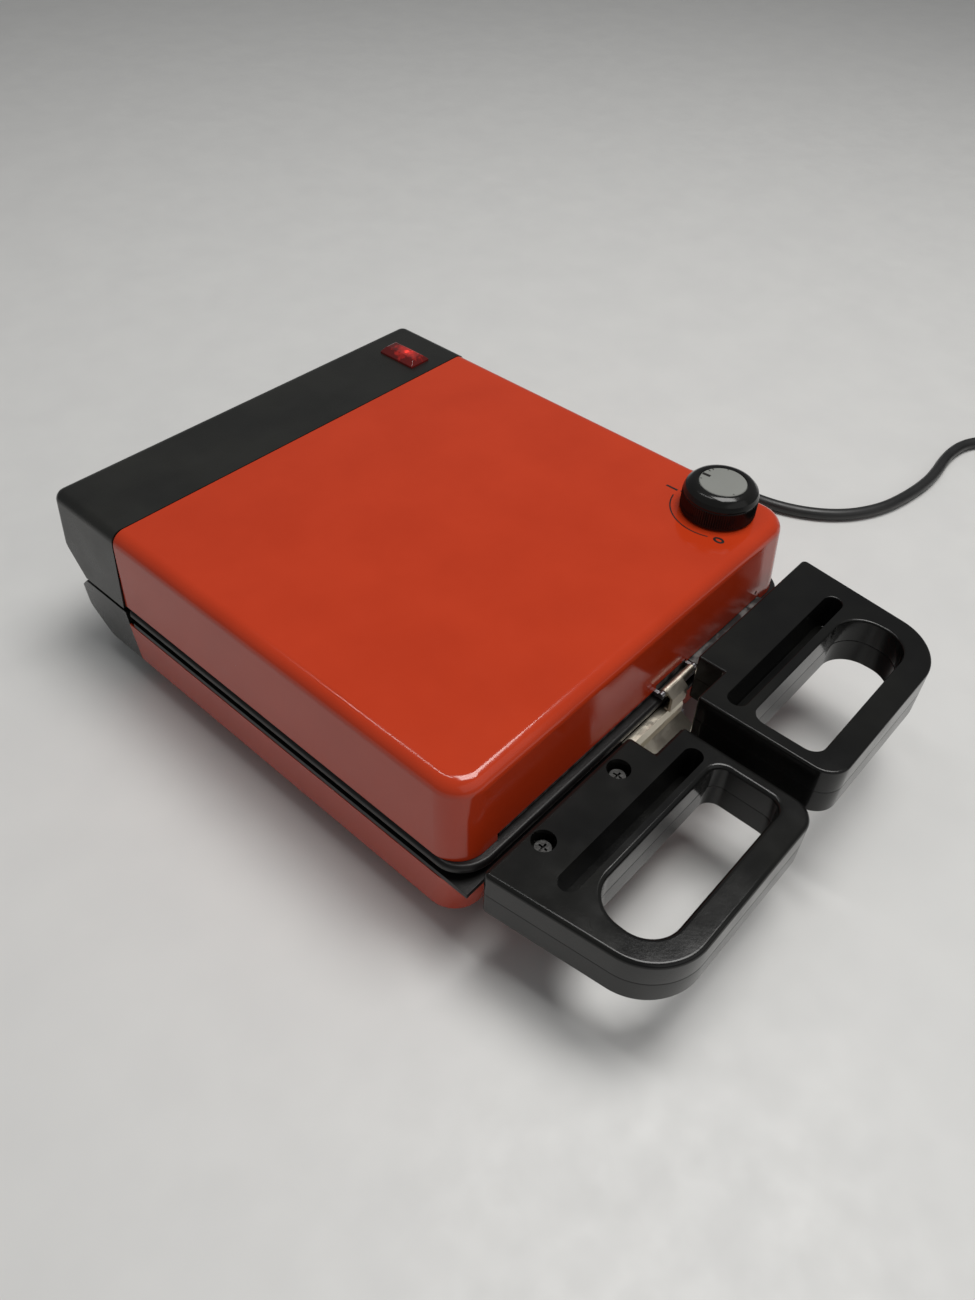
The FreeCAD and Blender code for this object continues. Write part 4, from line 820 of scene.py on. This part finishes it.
bpy.ops.object.select_all(action="DESELECT")
TABLE_SIZE = 6
bpy.ops.mesh.primitive_plane_add(size=TABLE_SIZE, location=(0, 0, 0))
table = bpy.context.object
table.name = "table_top"
table_white = finish("table_white", (0.67, 0.668, 0.656), (0.65, 0.648, 0.638), (0.42, 0.55), 300.0, 0.02)
table.data.materials.append(table_white)

world = bpy.data.worlds.new("room")
bpy.context.scene.world = world
world.use_nodes = True
ROOM_COLOUR, ROOM_STRENGTH = (0.96, 0.98, 1.0, 1), 0.16
background = world.node_tree.nodes["Background"]
background.inputs["Color"].default_value = ROOM_COLOUR
background.inputs["Strength"].default_value = ROOM_STRENGTH
WARM_WHITE = (1.0, 0.99, 0.97)


def soft_light(name, place, aim, size, power, colour=(1, 1, 1)):
    """An area light of this width and length that faces a point, all in metres."""
    lamp = bpy.data.lights.new(name, "AREA")
    lamp.shape = "RECTANGLE"
    lamp.size, lamp.size_y = size
    lamp.energy = power
    lamp.color = colour
    holder = bpy.data.objects.new(name, lamp)
    bpy.context.scene.collection.objects.link(holder)
    holder.location = place
    holder.rotation_euler = (Vector(aim) - Vector(place)).to_track_quat("-Z", "Y").to_euler()


soft_light("ceiling", (0.38, -0.22, 1.8), (0, 0, 0), (0.9, 0.9), 25, WARM_WHITE)
soft_light("front", (-0.1, -1.6, 1.1), (0, 0, 0.05), (2.4, 1.4), 4, WARM_WHITE)
soft_light("strip", (-0.16, 0.5, 1.6), (-0.1, 0, 0.1), (0.10, 0.8), 2.4)

CAMERA_PLACE = Vector((-0.31074, -0.25901, 0.42794))
CAMERA_AIM = Vector((-0.02732, -0.02117, 0.060))
CAMERA_ROLL = math.radians(2.74)
lens_data = bpy.data.cameras.new("camera")
lens_data.lens = 28.27
lens_data.sensor_width = 36
lens_data.clip_start = 0.01
camera = bpy.data.objects.new("camera", lens_data)
bpy.context.scene.collection.objects.link(camera)
camera.location = CAMERA_PLACE
look = (CAMERA_AIM - CAMERA_PLACE).to_track_quat("-Z", "Y").to_matrix().to_4x4()
look = look @ Matrix.Rotation(CAMERA_ROLL, 4, "Z")
camera.rotation_euler = look.to_euler()
bpy.context.scene.camera = camera

bpy.context.scene.view_settings.view_transform = "Standard"
